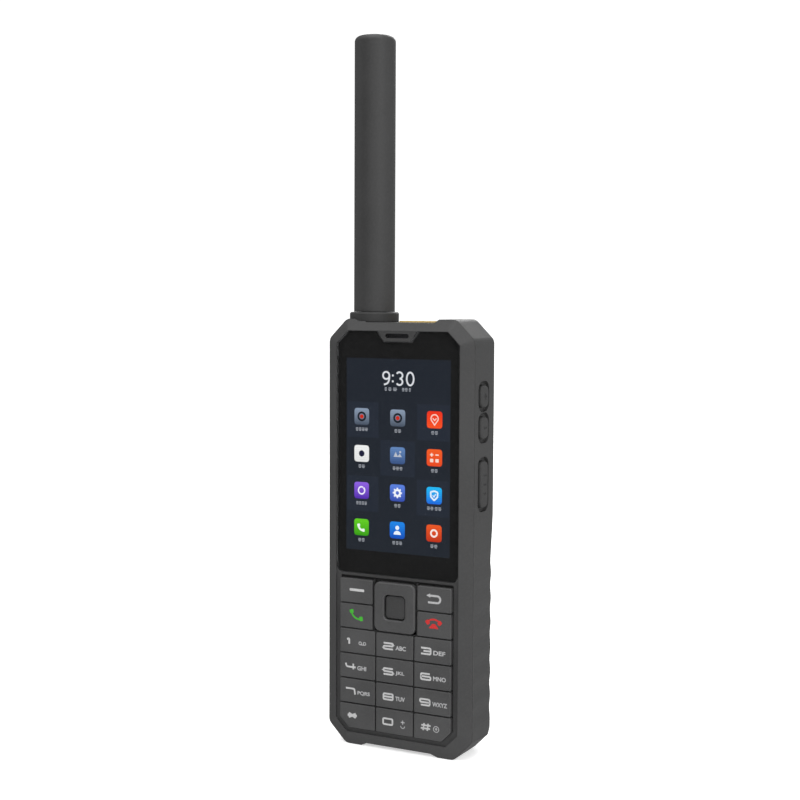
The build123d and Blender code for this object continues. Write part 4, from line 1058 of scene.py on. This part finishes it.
def build_floor():
    """A wide plain floor."""
    mesh = bpy.data.meshes.new("floor")
    corners = [(x * FLOOR_REACH, y * FLOOR_REACH, 0) for x, y in ((-1, -1), (1, -1), (1, 1), (-1, 1))]
    mesh.from_pydata(corners, [], [(0, 1, 2, 3)])
    floor = bpy.data.objects.new("floor", mesh)
    bpy.context.scene.collection.objects.link(floor)
    finish = Finish("floor_paint")
    cloud = finish.noise(0.6, 3.0)
    paint = finish.mix(cloud, (0.80, 0.80, 0.80, 1.0), (0.82, 0.82, 0.82, 1.0))
    finish.set(Base_Color=paint, Roughness=0.95, Specular_IOR_Level=0.0)
    finish.set(Emission_Color=(1.0, 1.0, 1.0, 1.0), Emission_Strength=FLOOR_GLOW)
    mesh.materials.append(finish.material)
    floor.visible_glossy = False
    floor.visible_transmission = False


def build_world():
    """White to look at; as a light, bright above and below, dim behind, dark where the glass looks."""
    world = bpy.data.worlds.new("studio")
    bpy.context.scene.world = world
    world.use_nodes = True
    tree = world.node_tree
    background = tree.nodes["Background"]
    place = tree.nodes.new("ShaderNodeTexCoord")
    light = SURROUND
    for direction, start, end, share in SKY:
        aim = tree.nodes.new("ShaderNodeVectorMath")
        aim.operation = "DOT_PRODUCT"
        aim.inputs[1].default_value = Vector(direction).normalized()
        tree.links.new(place.outputs["Generated"], aim.inputs[0])
        fade = tree.nodes.new("ShaderNodeMapRange")
        fade.interpolation_type = "SMOOTHSTEP"
        for name, value in (("From Min", start), ("From Max", end), ("To Min", 1.0), ("To Max", share)):
            fade.inputs[name].default_value = value
        tree.links.new(aim.outputs["Value"], fade.inputs["Value"])
        product = tree.nodes.new("ShaderNodeMath")
        product.operation = "MULTIPLY"
        if isinstance(light, float):
            product.inputs[0].default_value = light
        else:
            tree.links.new(light, product.inputs[0])
        tree.links.new(fade.outputs["Result"], product.inputs[1])
        light = product.outputs[0]
    ray = tree.nodes.new("ShaderNodeLightPath")
    seen = tree.nodes.new("ShaderNodeMix")
    tree.links.new(ray.outputs["Is Camera Ray"], seen.inputs[0])
    tree.links.new(light, seen.inputs[2])
    seen.inputs[3].default_value = BACKDROP
    tree.links.new(seen.outputs[0], background.inputs["Strength"])
    background.inputs["Color"].default_value = (1.0, 1.0, 1.0, 1.0)


def build_lights():
    """Square area lights aimed at the phone."""
    for name, (place, size, power) in SOFT_BOXES.items():
        light = bpy.data.lights.new(name, "AREA")
        light.size = size
        light.energy = power
        lamp = bpy.data.objects.new(name, light)
        lamp.location = place
        lamp.rotation_euler = (Vector(LIT_POINT) - Vector(place)).to_track_quat("-Z", "Y").to_euler()
        bpy.context.scene.collection.objects.link(lamp)


def build_camera():
    """The camera at the viewing angle of the reference view."""
    yaw, pitch, roll = (math.radians(angle) for angle in (CAMERA_YAW, CAMERA_PITCH, CAMERA_ROLL))
    forward = Vector((-math.sin(yaw) * math.cos(pitch), math.cos(yaw) * math.cos(pitch), -math.sin(pitch)))
    level = forward.cross(Vector((0, 0, 1))).normalized()
    upright = level.cross(forward)
    right = level * math.cos(roll) + upright * math.sin(roll)
    up = upright * math.cos(roll) - level * math.sin(roll)
    camera = bpy.data.cameras.new("camera")
    camera.lens = CAMERA_LENS
    camera.sensor_width = CAMERA_SENSOR
    camera.clip_start = CAMERA_NEAR
    holder = bpy.data.objects.new("camera", camera)
    matrix = Matrix((right, up, -forward)).transposed().to_4x4()
    matrix.translation = Vector(CAMERA_PLACE)
    holder.matrix_world = matrix
    bpy.context.scene.collection.objects.link(holder)
    bpy.context.scene.camera = holder


slot_materials["display_panel"] = screen_light("display_panel", colour(33, 38, 47), colour(35, 40, 48))
dress_frame()
number_legends()
function_legends()
build_border()
build_screen()
side_marks()
build_camera_optics()
build_torch_emitter()
build_speaker_cloth()
build_floor()
build_world()
build_lights()
build_camera()
bpy.context.scene.view_settings.view_transform = "Standard"
